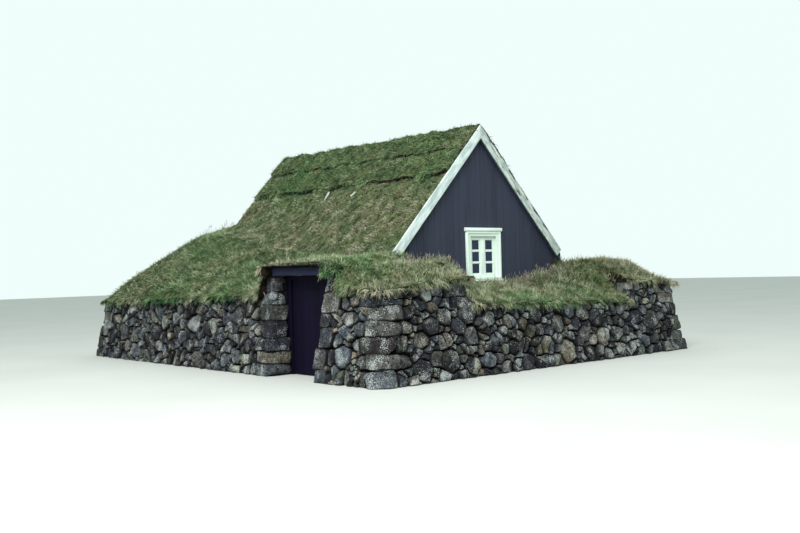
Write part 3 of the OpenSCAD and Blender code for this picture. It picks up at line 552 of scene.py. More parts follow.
class Workpiece:
    """One object under the hand: chosen alone, shaped in edit mode, finished at the origin."""

    # Vertices nearer than this are one
    MERGE = 0.0004

    def __init__(self, piece: Object) -> None:
        """Takes an object in hand."""
        self.piece = piece

    @classmethod
    def boxes(cls, name: str, corners: Sequence[tuple[Sequence[float], Sequence[float]]],
              tones: Optional[Sequence[float]] = None) -> "Workpiece":
        """Adds one or more boxes as one mesh.

        Args:
            name: the piece's name.
            corners: lowest and highest corner of each box.
            tones: a tone for each box, kept as an attribute.

        Returns:
            The workpiece.
        """
        deselect()
        for i, (lo, hi) in enumerate(corners):
            centre = [(a + b) / 2 for a, b in zip(lo, hi)]
            size = [b - a for a, b in zip(lo, hi)]
            bpy.ops.mesh.primitive_cube_add(size=1, location=centre, scale=size)
            if i == 0:
                bpy.ops.object.transform_apply()
                made = bpy.context.object
                go_to("EDIT")
        go_to("OBJECT")
        made.name = made.data.name = name
        work = cls(made)
        if tones is not None:
            work.attribute("tone", np.repeat(np.asarray(tones, float), 8))
        return work

    @classmethod
    def copy_of(cls, node: str, name: str) -> "Workpiece":
        """Copies a CAD node's mesh and merges its loose triangles.

        Args:
            node: the CAD node.
            name: the new piece's name.

        Returns:
            The workpiece.
        """
        made = bpy.data.objects.new(name, NODES[node].data.copy())
        made.data.materials.clear()
        bpy.context.scene.collection.objects.link(made)
        return cls(made).whole(bpy.ops.mesh.remove_doubles, threshold=cls.MERGE)

    def take_up(self) -> None:
        """Makes this piece the only one selected, and the active one."""
        deselect()
        bpy.context.view_layer.objects.active = self.piece
        self.piece.select_set(True)

    def edit(self, kind: str = "FACE") -> None:
        """Enters edit mode with this piece alone.

        Args:
            kind: what is selected: VERT, EDGE or FACE.
        """
        self.take_up()
        go_to("EDIT")
        bpy.ops.mesh.select_mode(type=kind)

    def whole(self, tool: Callable, **settings: object) -> "Workpiece":
        """Works the whole mesh with one of edit mode's tools.

        Args:
            tool: the tool's operator.
            settings: its settings.

        Returns:
            This workpiece.
        """
        self.edit()
        bpy.ops.mesh.select_all(action="SELECT")
        tool(**settings)
        go_to("OBJECT")
        return self

    def pick(self, test: Callable[[Vector, Vector], bool]) -> int:
        """Selects faces by their middle and normal, and enters edit mode.

        Args:
            test: says whether a face with this middle and normal is wanted.

        Returns:
            How many faces are selected.
        """
        self.edit()
        bpy.ops.mesh.select_all(action="DESELECT")
        go_to("OBJECT")
        count = 0
        for face in self.piece.data.polygons:
            face.select = bool(test(face.center, face.normal))
            count += face.select
        go_to("EDIT")
        return count

    def modifier(self, kind: str, **settings: object) -> "Workpiece":
        """Adds a modifier and applies it.

        Args:
            kind: the modifier's type.
            settings: its settings.

        Returns:
            This workpiece.
        """
        self.take_up()
        made = self.piece.modifiers.new(kind.title(), kind)
        for name, value in settings.items():
            setattr(made, name, value)
        bpy.ops.object.modifier_apply(modifier=made.name)
        return self

    def bevel(self, width: float, segments: int = 2, angle: float = 30.0) -> "Workpiece":
        """Rounds the edges that are sharper than an angle in degrees, by a width in metres."""
        return self.modifier("BEVEL", width=width, segments=segments, limit_method="ANGLE",
                             angle_limit=math.radians(angle), harden_normals=False)

    def cut(self, through: Sequence[float], normal: Sequence[float]) -> "Workpiece":
        """Cuts off what lies beyond a plane, on the side its normal points to, and closes the cut."""
        return self.whole(bpy.ops.mesh.bisect, plane_co=through, plane_no=normal, use_fill=True,
                          clear_outer=True)

    def slice(self, through: Sequence[float], normal: Sequence[float]) -> "Workpiece":
        """Divides the faces along a plane, so that a finish or shape can vary across them."""
        return self.whole(bpy.ops.mesh.bisect, plane_co=through, plane_no=normal)

    def subdivide(self, cuts: int) -> "Workpiece":
        """Splits every edge of the mesh evenly, with so many cuts across each."""
        return self.whole(bpy.ops.mesh.subdivide, number_cuts=cuts)

    def flatten(self) -> "Workpiece":
        """Dissolves the lines inside flat faces."""
        return self.whole(bpy.ops.mesh.dissolve_limited, angle_limit=math.radians(1.0))

    def points(self) -> np.ndarray:
        """Gives the vertices' places.

        Returns:
            A row for each.
        """
        flat = np.zeros(len(self.piece.data.vertices) * 3)
        self.piece.data.vertices.foreach_get("co", flat)
        return flat.reshape(-1, 3)

    def move_to(self, points: np.ndarray) -> "Workpiece":
        """Moves the vertices to new places.

        Args:
            points: a row for each vertex.

        Returns:
            This workpiece.
        """
        self.piece.data.vertices.foreach_set("co", np.ascontiguousarray(points).ravel())
        self.piece.data.update()
        return self

    def attribute(self, name: str, values: np.ndarray) -> "Workpiece":
        """Stores a number for each vertex.

        Args:
            name: the attribute's name, which finishes read.
            values: a number for each vertex.

        Returns:
            This workpiece.
        """
        made = self.piece.data.attributes.new(name, "FLOAT", "POINT")
        made.data.foreach_set("value", np.asarray(values, np.float32))
        return self

    def smooth(self, degrees: float) -> "Workpiece":
        """Shades the piece smooth, with edges sharper than an angle kept.

        Args:
            degrees: the angle.

        Returns:
            This workpiece.
        """
        self.take_up()
        bpy.ops.object.shade_smooth_by_angle(angle=math.radians(degrees))
        return self

    def hand_over(self, material: Material, slot: Slot, body: str = HOUSE,
                  instead_of: Sequence[str] = ()) -> None:
        """Dresses the piece and gives it to its body.

        Args:
            material: its finish.
            slot: the record's material slot, not used.
            body: the body that it rides on.
            instead_of: the CAD nodes that it stands for.
        """
        deselect()
        self.piece.data.materials.clear()
        self.piece.data.materials.append(material)
        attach(self.piece, body)
        if instead_of:
            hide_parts(*instead_of)
        triangles = sum(len(face.vertices) - 2 for face in self.piece.data.polygons)
        log.info("%s: %d triangles", self.piece.name, triangles)


@dataclass(frozen=True)
class Blank:
    """A shape that is modelled once and then copied: its vertices and faces."""

    points: np.ndarray
    corners: np.ndarray
    sizes: np.ndarray

    @classmethod
    def take(cls, work: Workpiece) -> "Blank":
        """Reads a modelled shape and puts its object away.

        Args:
            work: the modelled shape.

        Returns:
            The blank.
        """
        mesh = work.piece.data
        corners = np.zeros(len(mesh.loops), np.int32)
        sizes = np.zeros(len(mesh.polygons), np.int32)
        mesh.loops.foreach_get("vertex_index", corners)
        mesh.polygons.foreach_get("loop_total", sizes)
        blank = cls(work.points(), corners, sizes)
        bpy.data.objects.remove(work.piece)
        bpy.data.meshes.remove(mesh)
        return blank

    def copies(self, name: str, places: np.ndarray, **attributes: np.ndarray) -> Workpiece:
        """Joins copies of the blank, each with its own places, as one mesh.

        Args:
            name: the piece's name.
            places: copies by vertices by three.
            attributes: for each name, a number for each copy, or for each vertex of each copy.

        Returns:
            The joined copies.
        """
        count, size = places.shape[:2]
        mesh = bpy.data.meshes.new(name)
        mesh.vertices.add(count * size)
        mesh.vertices.foreach_set("co", np.ascontiguousarray(places, np.float32).ravel())
        corners = (self.corners[None, :] + size * np.arange(count)[:, None]).ravel()
        sizes = np.tile(self.sizes, count)
        mesh.loops.add(len(corners))
        mesh.loops.foreach_set("vertex_index", corners.astype(np.int32))
        mesh.polygons.add(len(sizes))
        starts = np.concatenate([[0], np.cumsum(sizes)[:-1]])
        mesh.polygons.foreach_set("loop_start", starts.astype(np.int32))
        mesh.update(calc_edges=True)
        made = bpy.data.objects.new(name, mesh)
        bpy.context.scene.collection.objects.link(made)
        work = Workpiece(made)
        for key, values in attributes.items():
            each = values if values.ndim == 2 else np.repeat(values[:, None], size, 1)
            work.attribute(key, each.ravel())
        return work


# stonework
Point2 = tuple[float, float]
Line = tuple[float, float, float]


def clip(shape: list[Point2], line: Line) -> list[Point2]:
    """Cuts a convex shape along a line.

    Args:
        shape: its corners in order.
        line: a, b and c; what is kept has a*u + b*v <= c.

    Returns:
        The corners of what is kept.
    """
    a, b, c = line
    kept: list[Point2] = []
    for (u0, v0), (u1, v1) in zip(shape, shape[1:] + shape[:1]):
        d0, d1 = a * u0 + b * v0 - c, a * u1 + b * v1 - c
        if d0 <= 0:
            kept.append((u0, v0))
        if d0 * d1 < 0:
            t = d0 / (d0 - d1)
            kept.append((u0 + t * (u1 - u0), v0 + t * (v1 - v0)))
    return kept


def side_of(p: Point2, q: Point2) -> Line:
    """Gives the line from p to q that keeps what lies on its left."""
    a, b = q[1] - p[1], p[0] - q[0]
    return a, b, a * p[0] + b * p[1]


@dataclass(frozen=True)
class Plane:
    """A wall face's plane: u runs to the viewer's right, v up the face, n outwards."""

    origin: np.ndarray
    u: np.ndarray
    v: np.ndarray
    n: np.ndarray

    @classmethod
    def facing(cls, outward: Sequence[float], through: Sequence[float], batter: float = BATTER) -> "Plane":
        """Makes the plane that faces outward, leans back by the batter and holds a point.

        Args:
            outward: the level direction that it faces.
            through: a point on it.
            batter: run over rise.

        Returns:
            The plane.
        """
        out = np.array([*outward, 0.0])
        v = np.array([0, 0, 1.0]) - batter * out
        v /= np.linalg.norm(v)
        u = np.array([-out[1], out[0], 0.0])
        at = np.array(through, float)
        return cls(at - np.dot(at, u) * u, u, v, np.cross(u, v))

    def flat(self, points: np.ndarray) -> np.ndarray:
        """Gives the places of points along u and v."""
        away = points - self.origin
        return np.stack([away @ self.u, away @ self.v], -1)

    def solid(self, flat: np.ndarray, height: np.ndarray) -> np.ndarray:
        """Gives the points at places on the plane and heights over it."""
        return (self.origin + flat[..., :1] * self.u + flat[..., 1:2] * self.v
                + height[..., None] * self.n)

    def height(self, points: np.ndarray) -> np.ndarray:
        """Gives how far points stand out from the plane."""
        return (points - self.origin) @ self.n


@dataclass
class Segment:
    """One node's part of a face: its left and right ends, each from the foot up to the top."""

    left: tuple[Point2, Point2]
    right: tuple[Point2, Point2]
    open_left: bool = True
    open_right: bool = True
    low_left: float = -1.0
    low_right: float = -1.0

    @staticmethod
    def at(end: tuple[Point2, Point2], v: float) -> float:
        """Gives an end's place along u at a height."""
        (u0, v0), (u1, v1) = end
        return u0 + (u1 - u0) * (v - v0) / (v1 - v0)

    def top(self, u: float) -> float:
        """Gives the height of the top at a place along u."""
        (u0, v0), (u1, v1) = self.left[1], self.right[1]
        return v0 + (v1 - v0) * (u - u0) / (u1 - u0)

    def holds(self, u: float, v: float, margin: float) -> bool:
        """Says whether a point lies inside by a margin."""
        return (self.at(self.left, v) + margin < u < self.at(self.right, v) - margin
                and v < self.top(u) - margin)

    def edges(self, v: float) -> list[Line]:
        """Gives the lines that bound a stone.

        Args:
            v: the height of the stone's middle.

        Returns:
            The lines: the top, and each end that the stone may not pass.
        """
        lines = [side_of(self.right[1], self.left[1])]
        if self.open_left or v > self.low_left:
            lines.append(side_of(self.left[1], self.left[0]))
        if self.open_right or v > self.low_right:
            lines.append(side_of(self.right[0], self.right[1]))
        return lines


@dataclass(frozen=True)
class Course:
    """One block of a corner as a face sees it: its heights, its end, and which way it runs."""

    low: float
    high: float
    edge: float
    end: float
    way: float


class BlockShape:
    """A squared boulder's blank, in a unit cube: sides split in seven, edges and corners worn round."""

    SPREAD = (0.0, 0.08, 0.22, 0.4, 0.6, 0.78, 0.92, 1.0)
    # How far in from the faces that meet other stones the painted joint shade reaches, as a share of the
    # block
    JOINT_BAND = 0.09

    def make(self) -> Blank:
        """Models the blank.

        Returns:
            The blank.
        """
        steps = len(self.SPREAD) - 1
        work = Workpiece.boxes("block_blank", [((0, 0, 0), (1, 1, 1))]).subdivide(steps - 1)
        work.move_to(np.array(self.SPREAD)[np.rint(work.points() * steps).astype(int)])
        points = work.whole(bpy.ops.mesh.vertices_smooth, factor=0.3, repeat=1).points()
        work.move_to((points - points.min(0)) / (points.max(0) - points.min(0)))
        return Blank.take(work)

    @staticmethod
    def deep(blank: Blank) -> np.ndarray:
        """Gives the painted shade in the joints: 1 where the blank meets other stones, above, below and at
        its ends, and 0 elsewhere.
        """
        u, w, z = blank.points.T
        return np.clip(1 - np.minimum.reduce([z, 1 - z, 1 - u, 1 - w]) / BlockShape.JOINT_BAND, 0, 1)


@dataclass(frozen=True)
class RubbleShape:
    """A rubble stone's blank: a many-sided lump, its front in rings that facets are cut across."""

    sides: int = 16
    rings: tuple[float, ...] = (0.965, 0.85, 0.64, 0.36)
    back: float = -1.0
    rim: float = -0.45

    def make(self) -> Blank:
        """Models the blank about the Z axis, its front face up.

        Returns:
            The blank.
        """
        deselect()
        bpy.ops.mesh.primitive_cylinder_add(vertices=self.sides, radius=1, depth=self.rim - self.back,
                                            location=(0, 0, (self.rim + self.back) / 2))
        bpy.ops.object.transform_apply()
        work = Workpiece(bpy.context.object)
        work.pick(lambda middle, normal: normal.z < -0.9)
        bpy.ops.transform.resize(value=(0.8, 0.8, 1))
        work.pick(lambda middle, normal: normal.z > 0.9)
        rise, last = -self.rim, 1.0
        for ring in self.rings:
            bpy.ops.mesh.extrude_region_move(TRANSFORM_OT_translate={"value": (0, 0, rise)})
            bpy.ops.transform.resize(value=(ring / last, ring / last, 1))
            rise, last = 0.0, ring
        bpy.ops.mesh.poke()
        go_to("OBJECT")
        return Blank.take(work)

    @staticmethod
    def deep(blank: Blank) -> np.ndarray:
        """Gives the painted shade in the joints at the blank's vertices.

        Args:
            blank: the blank.

        Returns:
            For each vertex, 1 at its sides, less round its rim, and 0 over its front.
        """
        radius = np.hypot(blank.points[:, 0], blank.points[:, 1])
        behind = blank.points[:, 2] < -0.01
        return np.where(behind, 1.0, np.where(radius > 0.9, 0.55, 0.0))


@dataclass
class Corner:
    """An upright edge of the stonework, built of boulders that bond both of its faces."""

    name: str
    foot: Point2
    lean: Point2
    along: tuple[Point2, Point2]
    low: float
    high: float
    long: tuple[float, float] = (0.36, 0.62)
    short: tuple[float, float] = (0.20, 0.36)
    rise: tuple[float, float] = (0.15, 0.29)
    chamfer: tuple[float, float] = (0.03, 0.11)
    reach: Optional[float] = None
    joint: float = -0.001
    shade: float = 0.9
    blocks: list[tuple[float, float, float, float]] = field(default_factory=list)
    # The least block on top, and the share of courses in which the long and the short end change places
    LEAST_RISE: ClassVar = 0.12
    TURNED: ClassVar = 0.8
    # How many facets break off a block, and where they start
    BREAKS: ClassVar = 9
    BREAK_AT: ClassVar = (0.72, 0.95)
    # How far a block's ends lean, it stands out of its face and it tips, then its roughness: waves on a
    # metre and depth
    SKEW: ClassVar = 0.035
    OUT: ClassVar = (-0.022, 0.006)
    TIP: ClassVar = 0.03
    ROUGH: ClassVar = ((6.0, 0.024), (21.0, 0.011))

    def lay(self, rng: np.random.Generator) -> None:
        """Chooses the blocks from the foot up: low, high, and length along each face.

        Args:
            rng: the source of chance.
        """
        z, turn = self.low, int(rng.integers(2))
        while z < self.high - 0.05:
            rise = rng.uniform(*self.rise)
            top = self.high if z + rise > self.high - self.LEAST_RISE else z + rise
            lengths = [rng.uniform(*self.long), rng.uniform(*self.short)]
            first, second = lengths if turn else lengths[::-1]
            if self.reach is not None:
                second = self.reach - (self.foot[0] + self.lean[0] * (z + top) / 2)
            self.blocks.append((z, top, first, second))
            z, turn = top, (1 - turn if rng.random() < self.TURNED else turn)

    def edge(self, z: float) -> np.ndarray:
        """Gives the edge's point at a height."""
        return np.array([self.foot[0] + self.lean[0] * z, self.foot[1] + self.lean[1] * z, z])

    def courses(self, plane: Plane, which: int) -> list[Course]:
        """Gives the blocks as one of the two faces sees them.

        Args:
            plane: the face's plane.
            which: 0 or 1, the face.

        Returns:
            The blocks from the foot up.
        """
        way = float(np.dot(np.array([*self.along[which], 0]), plane.u))
        made = []
        for block in self.blocks:
            low, high = (plane.flat(self.edge(z)) for z in block[:2])
            edge = (low[0] + high[0]) / 2
            made.append(Course(low[1], high[1], edge, edge + way * block[2 + which], way))
        return made

    @staticmethod
    def broken(local: np.ndarray, rng: np.random.Generator) -> np.ndarray:
        """Breaks flat facets off a block's edges and corners.

        Args:
            local: its vertices in a cube that runs from -1 to 1.
            rng: the source of chance.

        Returns:
            The vertices, those beyond a facet moved back to it.
        """
        for _ in range(Corner.BREAKS):
            toward = rng.normal(0, 1, 3)
            toward /= np.linalg.norm(toward)
            reach = np.abs(toward).sum() * rng.uniform(*Corner.BREAK_AT)
            local = local - np.maximum(0, local @ toward - reach)[:, None] * toward
        return local

    def build(self, blank: Blank, rng: np.random.Generator) -> np.ndarray:
        """Shapes a copy of the blank for each block.

        Args:
            blank: the block's blank.
            rng: the source of chance.

        Returns:
            Copies by vertices by three.
        """
        first, second = (np.array([*a, 0.0]) for a in self.along)
        made = []
        for low, high, a, b in self.blocks:
            gap = self.joint
            unit = (self.broken(blank.points * 2 - 1, rng) + 1) / 2
            z = low + gap + unit[:, 2] * (high - low - 2 * gap)
            corner = np.array([self.edge(h) for h in z])
            u, w = unit[:, 0] * (a - gap), unit[:, 1] * (b - gap)
            cut = np.maximum(0, rng.uniform(*self.chamfer) - u - w) / 2
            ends = rng.normal(0, self.SKEW, 2)
            u = u + cut + ends[0] * (unit[:, 2] - 0.5) * unit[:, 0]
            w = w + cut + ends[1] * (unit[:, 2] - 0.5) * unit[:, 1] * (self.reach is None)
            out = rng.uniform(*self.OUT)
            p = corner + first * (u - out)[:, None] + second * (w - out * (self.reach is None))[:, None]
            p[:, 2] += rng.normal(0, self.TIP) * (u - a / 2) + rng.normal(0, self.TIP) * (w - b / 2)
            p += sum(roughness(p, *rough) for rough in self.ROUGH)
            p[:, 2] = np.maximum(p[:, 2], FOOT)
            made.append(p)
        return np.array(made)


def cell_split_line(shape: list[Point2], rng: np.random.Generator) -> Line:
    """Chooses a line through the middle of a shape, more often upright or level.

    Args:
        shape: its corners.
        rng: the source of chance.

    Returns:
        The line.
    """
    u, v = np.array(shape).mean(0) + rng.normal(0, 0.015, 2)
    turn = rng.normal(0, 0.5) + rng.choice((0.0, 0.8, 1.57, 2.3), p=(0.3, 0.15, 0.4, 0.15))
    a, b = math.sin(turn), math.cos(turn)
    return a, b, a * u + b * v


def roughness(points: np.ndarray, scale: float, depth: float) -> np.ndarray:
    """Gives each point a wandering offset, from the waves on a metre and how far they go."""
    return np.array([noise.noise_vector(Vector(p) * scale) for p in points]) * depth


@dataclass
class StoneFace:
    """One plane of the walls, laid with rubble of all sizes between the blocks of its corners."""

    outward: Point2
    nodes: tuple[str, ...]
    batter: float = BATTER
    through: Optional[tuple[float, float, float]] = None
    low: float = 0.0
    set_back: float = 0.0
    loose: float = 0.02
    radii: tuple[float, ...] = (0.19, 0.155, 0.125, 0.1, 0.08, 0.062, 0.048)
    shares: tuple[float, ...] = (0.05, 0.12, 0.2, 0.24, 0.3, 0.35, 0.4)
    pack: float = 0.8
    joint: float = 0.0115
    depth: float = 0.19
    flatness: float = 0.92
    seed: int = 1
    # Facets above, below, right, left and anywhere: their turn in half circles, and their start as a
    # share of the stone's reach that way
    FACETS: ClassVar = ((0.3, 0.7, 0.6, 1.05), (1.2, 1.8, 0.7, 1.1), (-0.3, 0.3, 0.75, 1.2),
                        (0.7, 1.3, 0.75, 1.2), (0.0, 2.0, 0.2, 1.1))
    # How far from a block's end the first stone's middle lies
    BOND: ClassVar = 0.11
    # The farthest that a cell reaches, the neighbours that bound it, and the least that is filled
    REACH: ClassVar = 0.6
    NEIGHBOURS: ClassVar = 34
    LEAST_AREA: ClassVar = 0.002
    # The least cell that is parted in two, and the share of those that are
    PARTED_AREA: ClassVar = 0.017
    PARTED_SHARE: ClassVar = 0.42
    # How far a cell's corners are worn, and the sides between them bend
    WORN: ClassVar = 0.05
    BEND: ClassVar = 0.022
    # How a front varies: how far its peak lies off the middle, its tilt, its facets' slopes in radians,
    # and how far the stone stands out of the face, on the whole and at most
    PEAK: ClassVar = 0.25
    TILT: ClassVar = 0.24
    SLOPES: ClassVar = (0.35, 1.25)
    PROUD: ClassVar = (-0.004, 0.02)
    PROUDEST: ClassVar = 0.034
    # How far facets go back, in metres and as a share of the stone's half width
    BACK: ClassVar = (0.026, 0.13)
    # Waves on a metre and depth
    ROUGH: ClassVar = ((10.0, 0.007), (31.0, 0.008))

    def __post_init__(self) -> None:
        """Finds the plane and the nodes' parts of it."""
        self.rng = np.random.default_rng(self.seed)
        at = self.through
        if at is None:
            lo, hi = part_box(self.nodes[0])
            at = tuple((hi if o > 0 else lo)[i] * abs(o) for i, o in enumerate(self.outward)) + (0.0,)
        self.plane = Plane.facing(self.outward, at, self.batter)
        self.segments = [s for s in map(self.segment, self.nodes) if s]
        self.segments.sort(key=lambda s: s.left[0][0])
        for one, two in zip(self.segments, self.segments[1:]):
            if abs(one.right[0][0] - two.left[0][0]) < 0.02:
                one.open_right, two.open_left = False, False
                one.low_right, two.low_left = two.left[1][1], one.right[1][1]
        self.courses: list[Course] = []

    def segment(self, node: str) -> Optional[Segment]:
        """Finds a node's part of the plane.

        Args:
            node: the CAD node.

        Returns:
            Its ends, or None if it has no face there.
        """
        points = np.array([v.co for v in NODES[node].data.vertices])
        on = points[np.abs(self.plane.height(points)) < 0.003]
        if len(on) < 3:
            return None
        flat = self.plane.flat(on)
        foot = flat[flat[:, 1] < 0.01]
        head = flat[flat[:, 1] > 0.3]
        left, right = head[:, 0].min(), head[:, 0].max()
        top_left = head[head[:, 0] < left + 0.003][:, 1].max()
        top_right = head[head[:, 0] > right - 0.003][:, 1].max()
        return Segment(((foot[:, 0].min(), 0.0), (left, top_left)),
                       ((foot[:, 0].max(), 0.0), (right, top_right)))

    def bond(self, corner: Corner, which: int) -> None:
        """Leaves room for a corner's blocks."""
        self.courses += corner.courses(self.plane, which)

    def blocked(self, u: float, v: float, margin: float) -> bool:
        """Says whether a point lies in or near a corner's block."""
        return any(c.low <= v < c.high and (u - c.end) * c.way < margin for c in self.courses
                   if (u - c.edge) * c.way > -0.3)

    def seeds(self) -> tuple[np.ndarray, int]:
        """Chooses the stones' middles and half heights, the largest first.

        Returns:
            A row of place and size for each, and how many of them are stones; the rest are mirrored
            points that keep stones out of the corners' blocks.
        """
        rng, step = self.rng, self.BOND
        inside, ghosts = [], []
        for c in self.courses:
            middle = (c.low + c.high) / 2
            if any(s.holds(c.end + c.way * step, middle, 0.02) for s in self.segments):
                size = min(step, (c.high - c.low) * 0.6)
                inside.append((c.end + c.way * step, middle, size))
                ghosts.append((c.end - c.way * step, middle, size))
        lo = min(s.left[0][0] for s in self.segments)
        hi = max(s.right[0][0] for s in self.segments)
        top = max(max(s.left[1][1], s.right[1][1]) for s in self.segments)
        area = (hi - lo) * (top - self.low)
        for radius, share in zip(self.radii, self.shares):
            tries = int(6 * share * area / (math.pi * radius ** 2))
            for u, v in zip(rng.uniform(lo, hi, tries), rng.uniform(self.low, top, tries)):
                size = radius * rng.uniform(0.88, 1.12)
                if not (any(s.holds(u, v, size * 0.3) for s in self.segments)
                        and v > self.low + size * 0.45 and not self.blocked(u, v, size * 0.6)):
                    continue
                if inside:
                    near = np.array(inside)
                    away = np.hypot((near[:, 0] - u) * self.flatness, near[:, 1] - v)
                    if (away < (near[:, 2] + size) * self.pack).any():
                        continue
                inside.append((u, v, size))
        return np.array(inside + ghosts), len(inside)

    def cells(self) -> list[list[Point2]]:
        """Parts the face among the stones, the larger ones getting more of the room.

        Returns:
            For each stone, the corners of its cell.
        """
        every, stones = self.seeds()
        squeeze = np.array([self.flatness, 1.0])
        made = []
        for at in every[:stones]:
            away = (every[:, :2] - at[:2]) * squeeze
            order = np.argsort((away ** 2).sum(1) - every[:, 2] ** 2)
            shape = [(at[0] + u * self.REACH, at[1] + v * self.REACH)
                     for u, v in ((-1, -1), (1, -1), (1, 1), (-1, 1))]
            for other in every[order[:self.NEIGHBOURS]]:
                if (other[:2] == at[:2]).all():
                    continue
                a, b = (other[:2] - at[:2]) * squeeze ** 2
                there, here = other[:2] * squeeze, at[:2] * squeeze
                far = there @ there - here @ here
                shape = clip(shape, (a, b, (far + at[2] ** 2 - other[2] ** 2) / 2)) if shape else shape
            part = next(s for s in self.segments if s.holds(at[0], at[1], 0.0))
            for line in part.edges(at[1]) + [(0.0, -1.0, -self.low)]:
                shape = clip(shape, line) if shape else shape
            made += self.fitted(shape) if len(shape) > 2 else []
        return [shape for shape in made if len(shape) > 2 and self.area(shape) > self.LEAST_AREA]

    def fitted(self, shape: list[Point2]) -> list[list[Point2]]:
        """Parts some of the larger cells in two, as a waller fits stones close together.

        Args:
            shape: a cell's corners.

        Returns:
            The cell, or its two parts.
        """
        if self.area(shape) < self.PARTED_AREA or self.rng.random() > self.PARTED_SHARE:
            return [shape]
        a, b, c = cell_split_line(shape, self.rng)
        return [clip(shape, (a, b, c)), clip(shape, (-a, -b, -c))]

    @staticmethod
    def area(shape: list[Point2]) -> float:
        """Gives a shape's area."""
        return 0.5 * sum(p[0] * q[1] - q[0] * p[1] for p, q in zip(shape, shape[1:] + shape[:1]))

    def outline(self, shape: list[Point2], sides: int) -> np.ndarray:
        """Lays a stone's outline round its cell: the corners, a little worn, and points between them.

        Args:
            shape: the cell's corners.
            sides: how many points.

        Returns:
            The points.
        """
        rng = self.rng
        middle = np.array(shape).mean(0)
        ring = [np.array(c) + (middle - c) * rng.uniform(0.0, self.WORN) for c in shape]
        while len(ring) < sides:
            steps = [np.linalg.norm(q - p) for p, q in zip(ring, ring[1:] + ring[:1])]
            i = int(np.argmax(steps))
            p, q = ring[i], ring[(i + 1) % len(ring)]
            bend = rng.normal(0, self.BEND) * np.array([p[1] - q[1], q[0] - p[0]])
            ring.insert(i + 1, p + (q - p) * rng.uniform(0.4, 0.6) + bend)
        while len(ring) > sides:
            steps = [np.linalg.norm(q - p) for p, q in zip(ring, ring[1:] + ring[:1])]
            ring.pop(int(np.argmin(steps)))
        made = np.array(ring)
        span = np.linalg.norm(made - middle, axis=1, keepdims=True)
        shrink = self.joint * rng.uniform(0.6, 1.5) * rng.uniform(0.6, 1.4, (len(made), 1))
        return middle + (made - middle) * np.maximum(0.6, 1 - shrink / span)

    def build(self, blanks: Sequence[tuple[RubbleShape, Blank, float]]) -> list[np.ndarray]:
        """Shapes a copy of a blank for each cell.

        Args:
            blanks: the rubble shapes with their blanks, each with the least area that it serves.

        Returns:
            For each blank, copies by vertices by three.
        """
        cells, made = self.cells(), []
        limit = math.inf
        for shape, blank, least in blanks:
            chosen = [c for c in cells if least <= self.area(c) < limit]
            made.append(self.carve(np.array([self.outline(c, shape.sides) for c in chosen]), shape, blank))
            limit = least
        return made

    def carve(self, outlines: np.ndarray, shape: RubbleShape, blank: Blank) -> np.ndarray:
        """Breaks the fronts of some stones into facets and roughens them.

        Args:
            outlines: stones by sides by two.
            shape: the rubble shape.
            blank: its blank.

        Returns:
            Copies by vertices by three.
        """
        rng = self.rng
        count = len(outlines)
        middle = outlines.mean(1, keepdims=True)
        turn = np.arctan2(blank.points[:, 1], blank.points[:, 0]) / (2 * math.pi) * shape.sides
        side = np.rint(turn).astype(int) % shape.sides
        radius = np.hypot(blank.points[:, 0], blank.points[:, 1])
        front = (blank.points[:, 2] > shape.rim + 0.01).astype(float)
        spoke = outlines[:, side] - middle
        half = np.linalg.norm(outlines - middle, axis=2).mean(1)[:, None]
        peak = rng.uniform(-self.PEAK, self.PEAK, (count, 1, 2)) * half[..., None]
        flat = middle + radius[None, :, None] * spoke
        flat = flat + (1 - radius)[None, :, None] * peak * front[None, :, None]
        away = flat - middle
        height = (away * rng.normal(0, self.TILT, (count, 1, 2))).sum(-1)
        for low, high, near, far in self.FACETS:
            angle = rng.uniform(low, high, (count, 1)) * math.pi
            toward = np.stack([np.cos(angle), np.sin(angle)], -1)
            reach = ((outlines - middle) * toward).sum(-1).max(1)[:, None]
            start = reach * rng.uniform(near, far, (count, 1))
            slope = np.tan(rng.uniform(*self.SLOPES, (count, 1)))
            height = np.minimum(height, ((away * toward).sum(-1) - start) * -slope)
        proud = np.clip(rng.normal(*self.PROUD, (count, 1)), -0.06, 0.028)
        height = np.maximum(height, -self.BACK[0] - self.BACK[1] * half) + proud
        height = np.where(front[None] > 0, height, blank.points[None, :, 2] * self.depth)
        height = np.minimum(height, self.PROUDEST) - self.set_back
        made = self.plane.solid(flat, height)
        points = made.reshape(-1, 3)
        wander = sum(roughness(points, *rough) for rough in self.ROUGH)
        made += wander.reshape(made.shape) * front[None, :, None]
        made[..., 2] = np.maximum(made[..., 2], FOOT)
        return made


